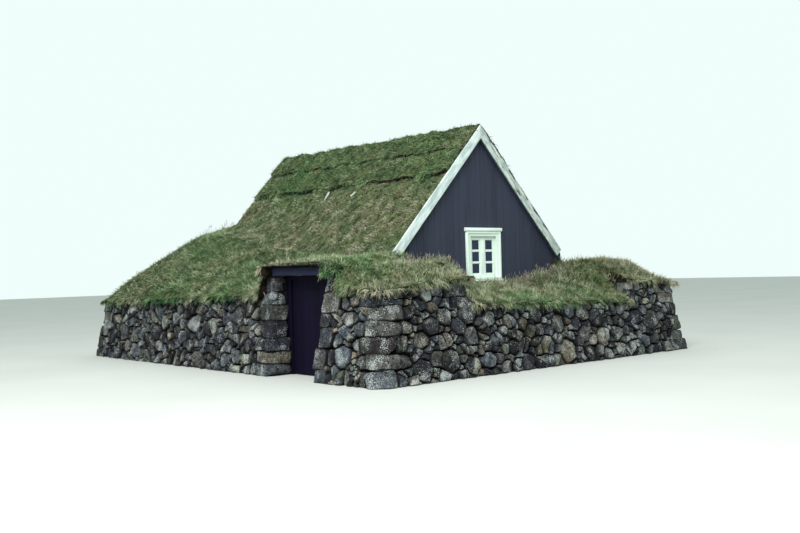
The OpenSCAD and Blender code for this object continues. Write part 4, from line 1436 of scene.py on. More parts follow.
class Stonework:
    """All stone that shows: the faces, their corner blocks, the earth cores and the slabs."""

    # The doorway's frame and height, and the faces of the passage behind it
    DOOR_FRAME_X = -3.425
    DOOR_HEIGHT = 1.63
    PASSAGE_NEAR = -3.28
    PASSAGE_FAR = -1.94
    # Where the front wall steps down before the window and up again, and the steps' feet
    DIP_LEFT, DIP_LEFT_FOOT = -1.82, 1.05
    DIP_RIGHT, DIP_RIGHT_FOOT = 2.27, 0.93
    # How far the earth lies behind the face, and how much of it the near corner's large blocks take
    CORE_DEPTH = 0.10
    NEAR_CUT = 0.22
    # Smaller cells get the blank with fewer sides
    SMALL_AREA = 0.016

    def __init__(self, stone: Material, earth: Material,
                 inner: Material) -> None:
        """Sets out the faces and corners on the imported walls.

        Args:
            stone: the stones' finish.
            earth: the cores' finish.
            inner: the inner leaves' finish.
        """
        self.stone, self.earth, self.inner = stone, earth, inner
        self.rng = np.random.default_rng(41)
        x, y, b, top = HALF_X, HALF_Y, BATTER, self.DOOR_HEIGHT
        jamb = dict(reach=self.DOOR_FRAME_X, long=(0.34, 0.5), short=(0.24, 0.32), rise=(0.17, 0.34),
                    shade=0.7)
        self.corners = [
            Corner("near", (-x, -y), (b, b), ((1, 0), (0, 1)), 0.0, 1.34, long=(0.34, 0.5),
                   short=(0.26, 0.34), rise=(0.2, 0.27), chamfer=(0.15, 0.26), shade=0.76),
            Corner("front_right", (x, -y), (-b, b), ((-1, 0), (0, 1)), 0.0, 1.24),
            Corner("back_right", (x, y), (-b, -b), ((0, -1), (-1, 0)), 0.0, 1.22),
            Corner("back_left", (-x, y), (b, -b), ((1, 0), (0, -1)), 0.0, 1.13),
            Corner("near_jamb", (-x, -3.24), (b, -0.04 / top), ((0, -1), (1, 0)), 0.0, top, **jamb),
            Corner("far_jamb", (-x, -2.11), (b, 0.17 / top), ((0, 1), (1, 0)), 0.0, top, **jamb),
            Corner("dip_left", (self.DIP_LEFT, -y), (0, b), ((-1, 0), (0, 1)), self.DIP_LEFT_FOOT, 1.48),
            Corner("dip_right", (self.DIP_RIGHT, -y), (0, b), ((1, 0), (0, 1)), self.DIP_RIGHT_FOOT, 1.34,
                   long=(0.2, 0.32), short=(0.14, 0.2), rise=(0.1, 0.15)),
        ]
        side = ("back_wall", "left_wall", "door_pier_far", "door_pier_near", "front_wall_left")
        self.faces = {
            "left": StoneFace((-1, 0), side, seed=11),
            "front": StoneFace((0, -1), ("front_wall_left", "front_wall_dip", "front_wall_right"), seed=12),
            "right": StoneFace((1, 0), ("right_wall", "front_wall_right", "back_wall"), seed=13),
            "back": StoneFace((0, 1), ("back_wall",), seed=14),
            "jamb_near": StoneFace((0, 1), ("door_pier_near",), 0.0, (0, self.PASSAGE_NEAR, 0),
                                   set_back=0.02, loose=0.2, seed=15),
            "jamb_far": StoneFace((0, -1), ("door_pier_far",), 0.0, (0, self.PASSAGE_FAR, 0),
                                  set_back=0.02, loose=0.2, seed=16),
            "step_left": StoneFace((1, 0), ("front_wall_left",), 0.0, (self.DIP_LEFT, 0, 0),
                                   self.DIP_LEFT_FOOT, seed=17),
            "step_right": StoneFace((-1, 0), ("front_wall_right",), 0.0, (self.DIP_RIGHT, 0, 0),
                                    self.DIP_RIGHT_FOOT, seed=18),
        }
        self.bonds = {"near": ("front", "left"), "front_right": ("front", "right"),
                      "back_right": ("right", "back"), "back_left": ("back", "left"),
                      "near_jamb": ("left", "jamb_near"), "far_jamb": ("left", "jamb_far"),
                      "dip_left": ("front", "step_left"), "dip_right": ("front", "step_right")}

    def build(self) -> None:
        """Lays the corners, then the faces, then the cores and slabs."""
        for corner in self.corners:
            corner.lay(self.rng)
            for which, face in enumerate(self.bonds[corner.name]):
                self.faces[face].bond(corner, which)
        block = BlockShape().make()
        self.dress("corner_blocks", block, BlockShape.deep(block),
                   np.concatenate([c.build(block, self.rng) for c in self.corners]),
                   shade=np.concatenate([np.full(len(c.blocks), c.shade) for c in self.corners]))
        large, small = RubbleShape(), RubbleShape(11, (0.96, 0.72, 0.4))
        blanks = ((large, large.make(), self.SMALL_AREA), (small, small.make(), 0.0))
        groups = {"left": ("left",), "front": ("front", "step_left", "step_right"), "right": ("right",),
                  "back": ("back",), "jambs": ("jamb_near", "jamb_far")}
        for name, faces in groups.items():
            built = zip(*[self.faces[f].build(blanks) for f in faces])
            for kind, (_, blank, _), parts in zip(("stones", "fillers"), blanks, built):
                self.dress(f"{kind}_{name}", blank, RubbleShape.deep(blank),
                           np.concatenate([p for p in parts if len(p)]))
        self.cores()
        self.slabs(block)
        for node in ("inner_leaf_left", "inner_leaf_right"):
            dress_node(node, self.inner)

    def dress(self, name: str, blank: Blank, deep: np.ndarray, places: np.ndarray,
              instead_of: Sequence[str] = (), shade: float | np.ndarray = 1.0) -> None:
        """Joins stones and gives each its own tone and hue, and the painted shade in their joints.

        Args:
            name: the piece's name.
            blank: the stones' blank.
            deep: for each of its vertices, the painted shade of the joints on it, from 0 to 1.
            places: copies by vertices by three.
            instead_of: the CAD nodes that they stand for.
            shade: what their tones are multiplied by.
        """
        count = len(places)
        tone = np.clip(self.rng.beta(1.3, 1.45, count), 0, 1) * shade
        work = blank.copies(name, places, tone=tone, hue=self.rng.uniform(0, 1, count),
                            deep=np.tile(deep, (count, 1)))
        work.hand_over(self.stone, Slot.STONE, instead_of=instead_of)

    def cores(self) -> None:
        """Makes the earth behind the stones: each wall's solid, its stone faces set back."""
        walls = sorted({node for face in self.faces.values() for node in face.nodes})
        for node in walls:
            work = Workpiece.copy_of(node, "core_" + node)
            for face in self.faces.values():
                if node not in face.nodes:
                    continue
                plane = face.plane
                if work.pick(lambda middle, normal: abs(plane.height(np.array(middle))) < face.loose
                             and np.dot(plane.n, normal) > 0.9):
                    bpy.ops.transform.translate(value=Vector((*face.outward, 0)) * -self.CORE_DEPTH)
                go_to("OBJECT")
            if node == "front_wall_left":
                work.cut((self.NEAR_CUT - HALF_X, self.NEAR_CUT - HALF_Y, 0), (-1, -1, 2 * BATTER))
            work.flatten().hand_over(self.earth, Slot.STONE, instead_of=(node,))

    def slabs(self, blank: Blank) -> None:
        """Makes the rough slabs over the passage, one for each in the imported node.

        Args:
            blank: the slabs' blank.
        """
        points = np.array([v.co for v in NODES["passage_slabs"].data.vertices])
        xs = np.unique(np.round(points[:, 0], 4))
        (_, y0, z0), (_, y1, z1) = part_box("passage_slabs")
        made = []
        for x0, x1 in zip(xs[::2], xs[1::2]):
            p = np.array([x0, y0, z0]) + blank.points * np.array([x1 - x0, y1 - y0, z1 - z0])
            made.append(p + roughness(p, 6.0, 0.012))
        self.dress("lintel_slabs", blank, BlockShape.deep(blank), np.array(made), ("passage_slabs",))


def dress_node(node: str, material: Material) -> None:
    """Gives a CAD node that keeps its shape a better finish.

    Args:
        node: the CAD node.
        material: its finish.
    """
    for slot in NODES[node].material_slots:
        slot.material = material
    log.info("%s: packed shape, dressed", node)


# turf and grass
def hummocks(x: float, y: float) -> float:
    """Gives the small ups and downs of the turf at a place, in metres: broad ones and closer ones."""
    return (0.012 * noise.noise(Vector((x * 2.3, y * 2.3, 0.3)))
            + 0.014 * noise.noise(Vector((x * 5.3, y * 5.3, 7.1))))


def cloud(points: np.ndarray) -> np.ndarray:
    """Gives each point a number from -1 to 1 that changes slowly from place to place."""
    return np.array([noise.noise(Vector(p)) for p in points])


@dataclass(frozen=True)
class Growth:
    """What grows on a piece of turf.

    Attributes:
        density: blades on a square metre.
        length: the mean blade, in metres.
        lay: 0 where it stands up, 1 where it lies down the slope.
        straw: the share of dry blades.
        bare: how far it thins out between the tufts, from 0 to 1.
        keep: says whether grass shows at a place.
        broad: what the blades' width is multiplied by.
        tone: how light the blades are on the whole, from 0 to 1.
    """

    density: float = 2000.0
    length: float = 0.085
    lay: float = 0.25
    straw: float = 0.35
    bare: float = 0.2
    keep: Callable[[np.ndarray], np.ndarray] = lambda p: np.ones(len(p), bool)
    broad: float = 1.0
    tone: float = 0.52


class BladeShape:
    """A blade's blank: three triangles that narrow to a tip, one high and one wide."""

    def make(self) -> Blank:
        """Models the blank in the XY plane, its root on the X axis.

        Returns:
            The blank.
        """
        deselect()
        bpy.ops.mesh.primitive_plane_add(size=1, location=(0, 0.25, 0))
        bpy.ops.object.transform_apply()
        work = Workpiece(bpy.context.object)
        points = work.points()
        points[:, 1] = np.where(points[:, 1] > 0.3, 0.5, 0.0)
        points[:, 0] *= np.where(points[:, 1] > 0.3, 0.78, 1.0)
        work.move_to(points)
        work.edit("EDGE")
        bpy.ops.mesh.select_all(action="DESELECT")
        go_to("OBJECT")
        mesh = work.piece.data
        for edge in mesh.edges:
            edge.select = all(mesh.vertices[i].co.y > 0.4 for i in edge.vertices)
        go_to("EDIT")
        bpy.ops.mesh.extrude_region_move(TRANSFORM_OT_translate={"value": (0, 0.5, 0)})
        bpy.ops.mesh.merge(type="CENTER")
        go_to("OBJECT")
        return Blank.take(work)


class SeedHeadShape:
    """A seed head's blank: a thin stalk with a spindle on it, one high."""

    def make(self) -> Blank:
        """Models the blank in the XY plane, its root on the X axis.

        Returns:
            The blank.
        """
        deselect()
        bpy.ops.mesh.primitive_cone_add(vertices=3, radius1=0.03, radius2=0.02, depth=0.78,
                                        location=(0, 0.39, 0), rotation=(-math.pi / 2, 0, 0))
        bpy.ops.object.transform_apply()
        made = bpy.context.object
        go_to("EDIT")
        bpy.ops.mesh.primitive_cone_add(vertices=4, radius1=0.13, radius2=0.0, depth=0.3,
                                        location=(0, 0.87, 0), rotation=(-math.pi / 2, 0, 0))
        go_to("OBJECT")
        return Blank.take(Workpiece(made))


class Turf:
    """The turf blocks, grown over: each packed block made finer and uneven, then sown."""

    # Beyond these the turf hangs over the walls' edge, and grass bends over it within this band
    LIP_X, LIP_Y = 3.72, 4.72
    LIP_BAND = 0.13
    # How deep blades are rooted, and how close to the floor they come
    ROOT = 0.012
    LOWEST = 0.01
    # The ridge sods' lower edges: how far from the ridge, and the stretches of Y that show bare soil
    SOD_EDGES = ((0.84, ((-3.3, -2.75), (-2.25, -1.2), (0.75, 1.25))),
                 (0.427, ((-2.4, -1.3), (0.2, 1.0))))
    # No blade hangs before the doorway: how far out it lies, from where to where, and its head
    DOORWAY = -3.5, -3.36, -1.76, 1.785
    # The sticks on the roof: middle, length and turn across the slope, then their section
    STICKS = (((-1.11, -0.03, 3.18), 0.24, 0.2), ((-1.14, -0.91, 3.15), 0.13, -0.35))
    STICK_WIDE, STICK_THICK = 0.026, 0.022

    def __init__(self, sod: Material, grass: Material,
                 heads: Material) -> None:
        """Sets out what grows where.

        Args:
            sod: the sods' finish.
            grass: the blades' finish.
            heads: the seed heads' finish.
        """
        self.sod, self.grass, self.heads = sod, grass, heads
        self.rng = np.random.default_rng(7)
        self.blocks: dict[str, Workpiece] = {}
        roof = Growth(3150, 0.046, 0.4, 0.68, 0.8, lambda p: np.abs(p[:, 0]) > 0.74, tone=0.56)
        lower = Growth(2000, 0.065, 0.42, 0.22, 0.3, lambda p: np.abs(p[:, 0]) > 0.34, tone=0.47)
        upper = Growth(2000, 0.065, 0.35, 0.16, 0.3, tone=0.47)
        bank = Growth(1750, 0.078, 0.3, 0.36, tone=0.5)
        mound = Growth(2600, 0.075, 0.22, 0.9, tone=0.54)
        self.growths = {
            "grass_roof_left": {"roof_turf_left": roof},
            "grass_roof_right": {"roof_turf_right": replace(roof, density=1050, broad=1.6)},
            "grass_ridge": {"ridge_sods_lower": lower, "ridge_sods_upper": upper},
            "grass_left": {"bank_left": bank, "turf_over_door": Growth(2600, 0.06, 0.3, 0.5),
                           "mound_left": mound},
            "grass_front": {"terrace_turf": Growth(2400, 0.072, 0.15, 0.5), "mound_right": mound},
            "grass_right": {"bank_right": replace(bank, density=1300, broad=1.35)},
            "grass_back": {"bank_back": replace(bank, density=800, broad=1.45)},
        }

    def build(self, wood: Material) -> None:
        """Makes the blocks, then their grass and what lies on the roof.

        Args:
            wood: finish of the sticks on the roof.
        """
        for growths in self.growths.values():
            for node in growths:
                self.blocks[node] = self.block(node)
        blade = BladeShape().make()
        for name, growths in self.growths.items():
            self.sow(name, growths, blade)
        self.seed_heads()
        self.sticks(wood)

    def sticks(self, wood: Material) -> None:
        """Makes the two bleached sticks that lie on the roof's left slope.

        Args:
            wood: their finish.
        """
        blank = Blank.take(Workpiece.boxes("stick_blank", [((-0.5,) * 3, (0.5,) * 3)]).subdivide(3))
        rise = np.array([math.cos(PITCH), 0, math.sin(PITCH)])
        normal = np.array([-math.sin(PITCH), 0, math.cos(PITCH)])
        places = []
        for at, length, turn in self.STICKS:
            along = rise * math.cos(turn) + np.array([0, math.sin(turn), 0])
            across = np.cross(normal, along)
            axes = np.array([along * length, across * self.STICK_WIDE, normal * self.STICK_THICK])
            p = np.array(at) + blank.points @ axes
            places.append(p + roughness(p, 11.0, 0.012))
        blank.copies("sticks_roof", np.array(places)).smooth(40).hand_over(wood, Slot.GREY_BOARD)

    def block(self, node: str) -> Workpiece:
        """Makes a packed block finer and uneven.

        Args:
            node: the CAD node.

        Returns:
            The finished block.
        """
        work = Workpiece.copy_of(node, "sod_" + node).subdivide(2)
        mesh = work.piece.data
        top = np.zeros(len(mesh.vertices), bool)
        side = np.zeros((len(mesh.vertices), 3))
        for face in mesh.polygons:
            n = face.normal
            if n.z > 0.25:
                top[list(face.vertices)] = True
            elif n.z > -0.5:
                side[list(face.vertices)] += np.array([n.x, n.y, 0])
        points = work.points()
        rims = node.startswith("ridge")
        for i, p in enumerate(points):
            if top[i]:
                p[2] += hummocks(p[0], p[1]) * (2.4 if rims else 1.0) - self.bedding(node, p)
            elif rims or abs(p[0]) > self.LIP_X or abs(p[1]) > self.LIP_Y:
                out = side[i] / max(1e-6, np.linalg.norm(side[i]))
                p += out * 0.04 * noise.noise(Vector((p[0] * 8, p[1] * 8, p[2] * 12)))
        work.move_to(points).attribute("grown", top)
        work.smooth(60).hand_over(self.sod, Slot.TURF, instead_of=(node,))
        return work

    def bedding(self, node: str, p: np.ndarray) -> float:
        """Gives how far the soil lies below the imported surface, which runs through the grass.

        Args:
            node: the block's CAD node.
            p: a point on its top.

        Returns:
            The depth, in metres.
        """
        if node.startswith("ridge"):
            curl = max(0.0, (-3.0 - p[1]) / 0.21) * (1 + noise.noise(Vector((p[0] * 9, 0, 2.0))))
            curl *= min(1.0, abs(p[0]) / 0.15)
            return 0.015 - 0.060 * curl if "lower" in node else 0.020 - 0.045 * curl
        rim = max(abs(p[0]) - self.LIP_X, abs(p[1]) - self.LIP_Y) / 0.12
        return 0.040 - 0.025 * min(1.0, max(0.0, rim + 1))

    def spots(self, node: str, growth: Growth) -> tuple[np.ndarray, np.ndarray, np.ndarray]:
        """Chooses where blades root on a block.

        Args:
            node: the block's CAD node.
            growth: what grows there.

        Returns:
            Their places, the surface's normals, and whether each is on a steep side.
        """
        mesh = self.blocks[node].piece.data
        mesh.calc_loop_triangles()
        index = np.zeros(len(mesh.loop_triangles) * 3, np.int32)
        mesh.loop_triangles.foreach_get("vertices", index)
        corner = self.blocks[node].points()[index.reshape(-1, 3)]
        cross = np.cross(corner[:, 1] - corner[:, 0], corner[:, 2] - corner[:, 0])
        size = np.linalg.norm(cross, axis=1)
        normal = cross / np.maximum(size, 1e-9)[:, None]
        middle = corner.mean(1)
        rim = node.startswith("ridge") & (np.abs(normal[:, 0]) > 0.8)
        end = node.startswith(("ridge", "roof")) & (np.abs(normal[:, 1]) > 0.7)
        end |= (node == "bank_left") & (normal[:, 1] < -0.7)
        lip = self.toward_lip(middle)[:, 3] > 0.6
        steep = normal[:, 2] < 0.25
        side = np.where(lip, 3.2, np.where(rim, 0.05, 0.35))
        side = np.where(end, 0.02, side)
        share = np.where(steep, side, np.where(lip, 1.5, 1.0)) * (normal[:, 2] > -0.3)
        tufts = np.array([noise.noise(Vector(m) * 5.5) for m in middle])
        share = share * np.clip(1 + 2.2 * tufts * growth.bare, 0.1, 2.0) * growth.keep(middle)
        weight = size / 2 * share
        count = int(growth.density * weight.sum())
        chosen = self.rng.choice(len(weight), count, p=weight / weight.sum())
        r, s = np.sqrt(self.rng.random(count)), self.rng.random(count)
        a, b, c = (corner[chosen, i] for i in range(3))
        place = a * (1 - r)[:, None] + b * (r * (1 - s))[:, None] + c * (r * s)[:, None]
        return place, normal[chosen], steep[chosen]

    def toward_lip(self, place: np.ndarray) -> np.ndarray:
        """Gives, for places near the walls' outer edge, the way out and how near they are.

        Args:
            place: the places.

        Returns:
            For each, the direction outwards and a nearness from 0 to 1; along the ridge sods' lower
            edges, only where the grass has grown over the edge.
        """
        over = np.abs(place[:, :2]) - np.array([self.LIP_X - self.LIP_BAND, self.LIP_Y - self.LIP_BAND])
        near = np.clip(over / self.LIP_BAND, 0, 1)
        out = np.sign(place[:, :2]) * near
        size = np.linalg.norm(out, axis=1, keepdims=True)
        out = np.hstack([out / np.maximum(size, 1e-6), 0 * size])
        near = near.max(1)
        wander = [0.4 * noise.noise(Vector((p[0], p[1] * 5, 3.0))) for p in place]
        along = place[:, 1] + np.array(wander)
        for edge, bare in self.SOD_EDGES:
            gap = (edge - np.abs(place[:, 0])) / 0.09
            here = (place[:, 2] > 3.0) & (gap > -0.25) & (gap < 1)
            for start, end in bare:
                here &= (along < start) | (along > end)
            near = np.where(here, np.clip(1.2 * (1 - gap), 0, 1), near)
            slope = np.stack([np.sign(place[:, 0]) * 0.72, 0 * gap, 0 * gap - 0.45], -1)
            out = np.where(here[:, None], slope, out)
        return np.hstack([out, near[:, None]])

    def sow(self, name: str, growths: dict[str, Growth], blade: Blank) -> None:
        """Grows the grass of some blocks as one piece.

        Args:
            name: the piece's name.
            growths: for each block's CAD node, what grows on it.
            blade: the blade's blank.
        """
        grown = [self.grow(*self.spots(node, growth), growth, blade) for node, growth in growths.items()]
        shapes, tone, straw = (np.concatenate(a) for a in zip(*grown))
        x, y, z = (shapes[..., i] for i in range(3))
        out, near, far, head = self.DOORWAY
        over_door = (x.min(1) < out) & (y.max(1) > near) & (y.min(1) < far) & (z.min(1) < head)
        shapes, tone, straw = (a[~over_door] for a in (shapes, tone, straw))
        tip = np.tile(blade.points[:, 1], (len(shapes), 1))
        work = blade.copies(name, shapes, tone=tone, straw=straw, tip=tip)
        work.hand_over(self.grass, Slot.TURF)

    def grow(self, place: np.ndarray, normal: np.ndarray, hanging: np.ndarray, growth: Growth,
             blade: Blank) -> tuple[np.ndarray, np.ndarray, np.ndarray]:
        """Bends a blade at each spot.

        Args:
            place: the roots.
            normal: the surface's normals there.
            hanging: which blades hang over an edge.
            growth: what grows there.
            blade: the blade's blank.

        Returns:
            The blades' vertices, their tones, and how dry each is.
        """
        rng, count = self.rng, len(place)
        up = np.array([0, 0, 1.0])
        fall = normal * normal[:, 2:] - up
        fall /= np.maximum(np.linalg.norm(fall, axis=1), 0.15)[:, None]
        steep = np.clip(1 - normal[:, 2], 0, 1)[:, None]
        spread = rng.normal(0, 0.45, (count, 3))
        rise = normal * (0.5 + growth.lay * 0.3) + up * (0.75 - growth.lay * 0.55)
        rise += spread * (0.6 + growth.lay)
        rise += fall * growth.lay * steep * 2.2
        out = normal * np.array([1, 1, 0])
        lip = self.toward_lip(place)
        over = lip[:, :3]
        spill = (lip[:, 3] ** 2)[:, None]
        rise = rise * (1 - 0.75 * spill) + (over + spread * 0.4) * spill
        rise = np.where(hanging[:, None], out * 0.7 + spread * 0.5 - up * 0.4, rise)
        rise /= np.linalg.norm(rise, axis=1)[:, None]
        bend = spread * 0.5 + fall * (0.35 + growth.lay) * steep - up * (0.25 + 0.5 * growth.lay)
        bend -= up * spill * 0.8
        bend = np.where(hanging[:, None], -up * 1.0 + spread * 0.35, bend)
        patch, clump, fine = (cloud(place * np.array(scale)) for scale in ((0.8, 0.8, 1.0), 4.2, 11.0))
        length = growth.length * np.exp(np.clip(rng.normal(0, 0.3, count), -0.6, 0.5)) * (1 + 0.7 * clump)
        length *= np.where(hanging, 0.8, 1 - 0.2 * spill[:, 0]) * (1 + 0.9 * self.by_gable(place))
        width = rng.uniform(0.007, 0.012, count) * growth.broad
        across = np.cross(rise, rng.normal(0, 1, (count, 3)))
        across /= np.maximum(np.linalg.norm(across, axis=1), 1e-6)[:, None]
        x, y = blade.points[:, 0], blade.points[:, 1]
        root = place - normal * self.ROOT
        shape = (root[:, None] + across[:, None] * (x[None] * width[:, None])[..., None]
                 + rise[:, None] * (y[None] * length[:, None])[..., None]
                 + bend[:, None] * (y[None] ** 2 * length[:, None] * 0.55)[..., None])
        shape[..., 2] = np.maximum(shape[..., 2], self.LOWEST)
        straw = growth.straw + 0.8 * patch + 0.7 * fine + rng.normal(0, 0.12, count)
        # Painted shade: hanging blades are 0.25 darker in tone, as shade under the turf's edge.
        tone = growth.tone + 0.7 * clump + 0.7 * fine - 0.25 * hanging + rng.normal(0, 0.11, count)
        return self.clear(shape), np.clip(tone, 0, 1), np.clip(straw, 0, 1)

    @staticmethod
    def by_gable(place: np.ndarray) -> np.ndarray:
        """Gives 1 for places close before the front gable, falling to 0 at 0.4 m from there."""
        away = np.abs(place[:, 1] + 3.35) / 0.4
        return np.clip(1 - away, 0, 1) * (np.abs(place[:, 0]) < 2.4) * (place[:, 2] < 2.0)

    @staticmethod
    def clear(shape: np.ndarray) -> np.ndarray:
        """Keeps blades out of the front gable and before its boards.

        Args:
            shape: the blades' vertices.

        Returns:
            The vertices, moved forward where they would cut the boards.
        """
        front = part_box("gable_boards_front")[0][1] - 0.012
        before = (shape[..., 1].min(1) < front) & (shape[:, 0, 1] < front + 0.02)
        inside = before[:, None] & (np.abs(shape[..., 0]) < 2.0) & (shape[..., 1] > front)
        shape[..., 1] = np.where(inside, front, shape[..., 1])
        return shape

    def seed_heads(self) -> None:
        """Makes the taller seed heads, before the gable and by the roof's far left corner."""
        blank = SeedHeadShape().make()
        places = []
        for node in ("terrace_turf", "mound_left", "mound_right"):
            place = self.spots(node, Growth(240))[0]
            x, y = place[:, 0], place[:, 1]
            places.append(place[(y > -3.85) & (np.abs(x) > 0.6) & (x > -3.0) & (x < 2.15)])
        place = np.concatenate(places)
        chance = np.clip((place[:, 1] + 3.8) / 0.5, 0, 1) * 0.8
        place = place[self.rng.random(len(place)) < chance]
        far = self.spots("bank_back", Growth(90))[0]
        x, y = far[:, 0], far[:, 1]
        place = np.concatenate([place, far[(x < -1.35) & (x > -2.05) & (y < 3.45)]])
        count = len(place)
        rise = np.array([0, 0, 1.0]) + self.rng.normal(0, 0.22, (count, 3))
        rise /= np.linalg.norm(rise, axis=1)[:, None]
        across = np.cross(rise, self.rng.normal(0, 1, (count, 3)))
        across /= np.linalg.norm(across, axis=1)[:, None]
        third = np.cross(across, rise)
        length = self.rng.uniform(0.10, 0.24, count)[:, None, None]
        p = blank.points
        shape = place[:, None] + length * (
            rise[:, None] * p[None, :, 1:2]
            + 0.24 * across[:, None] * p[None, :, 0:1] + 0.24 * third[:, None] * p[None, :, 2:3])
        work = blank.copies("seed_heads", self.clear(shape), tone=self.rng.random(count))
        work.hand_over(self.heads, Slot.TURF)


# joinery
class Woodwork:
    """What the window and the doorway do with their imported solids."""

    @staticmethod
    def shaped(node: str, material: Material, slot: Slot, edge: float,
               body: str = HOUSE) -> None:
        """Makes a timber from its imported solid, its edges worn by a width in metres."""
        work = Workpiece.copy_of(node, "shaped_" + node).flatten().bevel(edge)
        work.smooth(30).hand_over(material, slot, body, (node,))


@dataclass
class Gables:
    """The boarded gables: upright boards of uneven width, the front ones round the window."""

    board: tuple[float, float] = (0.115, 0.185)
    gap: float = 0.0045
    uneven: float = 0.004
    window_half: float = 0.42
    window_foot: float = 1.484
    window_head: float = 2.290
    window_middle: float = 0.06

    def build(self, tar: Material) -> None:
        """Makes both gables."""
        for node, window, seed in (("gable_boards_front", True, 3), ("gable_boards_rear", False, 4)):
            self.boards(node, window, tar, np.random.default_rng(seed))

    def lines(self, half: float, window: bool, rng: np.random.Generator) -> list[float]:
        """Chooses the joints between boards, some of them beside the window.

        Args:
            half: half of the gable's width.
            window: whether the boards part at a window.
            rng: the source of chance.

        Returns:
            The joints' places from left to right.
        """
        beside = [self.window_middle - self.window_half, self.window_middle + self.window_half]
        fixed = [-half, *(beside if window else ()), half]
        made = [fixed[0]]
        for start, end in zip(fixed, fixed[1:]):
            count = round((end - start) / (sum(self.board) / 2))
            widths = rng.uniform(*self.board, count)
            made += list(start + np.cumsum(widths) * (end - start) / widths.sum())
        return made

    def boards(self, node: str, window: bool, tar: Material,
               rng: np.random.Generator) -> None:
        """Makes one gable's boards.

        Args:
            node: the CAD node.
            window: whether there is a window in it.
            tar: the boards' finish.
            rng: the source of chance.
        """
        (_, y0, z0), (x1, y1, peak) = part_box(node)
        lines = self.lines(x1, window, rng)
        boxes, tones = [], []
        for left, right in zip(lines, lines[1:]):
            shift = rng.uniform(0, self.uneven)
            a, b = left + self.gap / 2, right - self.gap / 2
            spans = [(z0, peak)]
            if window and abs((left + right) / 2 - self.window_middle) < self.window_half:
                spans = [(z0, self.window_foot), (self.window_head, peak)]
            tone = rng.random()
            for low, high in spans:
                boxes.append(((a, y0 + shift, low), (b, y1, high)))
                tones.append(tone)
        work = Workpiece.boxes("boards_" + node, boxes, tones)
        for side in (-1, 1):
            work.cut((0, 0, peak), (side * math.sin(PITCH), 0, math.cos(PITCH)))
        work.bevel(0.003, 1).smooth(30).hand_over(tar, Slot.GABLE, instead_of=(node,))


@dataclass
class BargeBoards:
    """The painted boards along the gables' edges, with the heads of their nails."""

    width: float = 0.17
    worn_band: float = 0.045
    half_span: float = 2.15
    steps: int = 24
    lines: tuple[float, ...] = (0.03, 0.085, 0.14)
    nail_radius: float = 0.006
    nails_each: int = 5
    nail_first: float = 0.25
    nail_step: float = 0.62
    nail_rows: tuple[float, ...] = (0.04, 0.13)

    def build(self, left: Material, right: Material, rear: Material,
              iron: Material) -> None:
        """Makes the front pair, the rear pair and the nails.

        Args:
            left: finish of the front left board.
            right: finish of the front right board.
            rear: finish of the rear boards.
            iron: the nails' finish.
        """
        for node, paint in (("barge_front_left", left), ("barge_front_right", right),
                            ("barge_rear", rear)):
            work = Workpiece.copy_of(node, "shaped_" + node).flatten()
            self.divide(work)
            work.bevel(0.004, 1, 40)
            points = work.points()
            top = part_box(node)[1][2]
            down = (top - points[:, 2] - np.abs(points[:, 0]) * math.tan(PITCH)) * math.cos(PITCH)
            inner = np.minimum(down, self.width - down + 0.03)
            work.attribute("edge", np.clip(1 - inner / self.worn_band, 0, 1))
            work.smooth(30).hand_over(paint, Slot.PAINT, instead_of=(node,))
        self.nails(iron)

    def divide(self, work: Workpiece) -> None:
        """Divides a board across at even steps and along its length, so that its wear can vary.

        Args:
            work: the board.
        """
        for i in range(1, self.steps):
            work.slice((-self.half_span + 2 * self.half_span * i / self.steps, 0, 0), (1, 0, 0))
        top = work.points()[:, 2].max()
        for side in (-1, 1):
            for down in self.lines:
                work.slice((0, 0, top - down / math.cos(PITCH)), (side * math.sin(PITCH), 0, math.cos(PITCH)))

    def nails(self, iron: Material) -> None:
        """Makes the nail heads along the front boards.

        Args:
            iron: the nails' finish.
        """
        (_, front, _), (_, _, top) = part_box("barge_front_left")
        cos, sin = math.cos(PITCH), math.sin(PITCH)
        runs = [self.nail_first + i * self.nail_step for i in range(self.nails_each)]
        spots = [(side * (run * cos + down * sin), front, top - run * sin - down * cos)
                 for side in (-1, 1) for run in runs for down in self.nail_rows]
        nail_heads("nails_barge", spots, (0, -1, 0), self.nail_radius, iron, HOUSE)


def nail_heads(name: str, spots: Sequence[Sequence[float]], out: Sequence[float], radius: float,
               iron: Material, body: str) -> None:
    """Makes low domed nail heads.

    Args:
        name: the piece's name.
        spots: their middles on the surface.
        out: the direction in which they stand out.
        radius: their radius.
        iron: their finish.
        body: the body that they ride on.
    """
    deselect()
    bpy.ops.mesh.primitive_cylinder_add(vertices=8, radius=1, depth=1, location=(0, 0, 0))
    head = Workpiece(bpy.context.object)
    head.pick(lambda middle, normal: normal.z > 0.9)
    bpy.ops.transform.resize(value=(0.6, 0.6, 1))
    go_to("OBJECT")
    blank = Blank.take(head)
    turn = Vector((0, 0, 1)).rotation_difference(Vector(out)).to_matrix()
    shape = (np.array(turn) @ (blank.points * np.array([radius, radius, radius * 0.7])).T).T
    places = np.array(spots)[:, None] + shape[None]
    blank.copies(name, places).smooth(50).hand_over(iron, Slot.IRON, body)


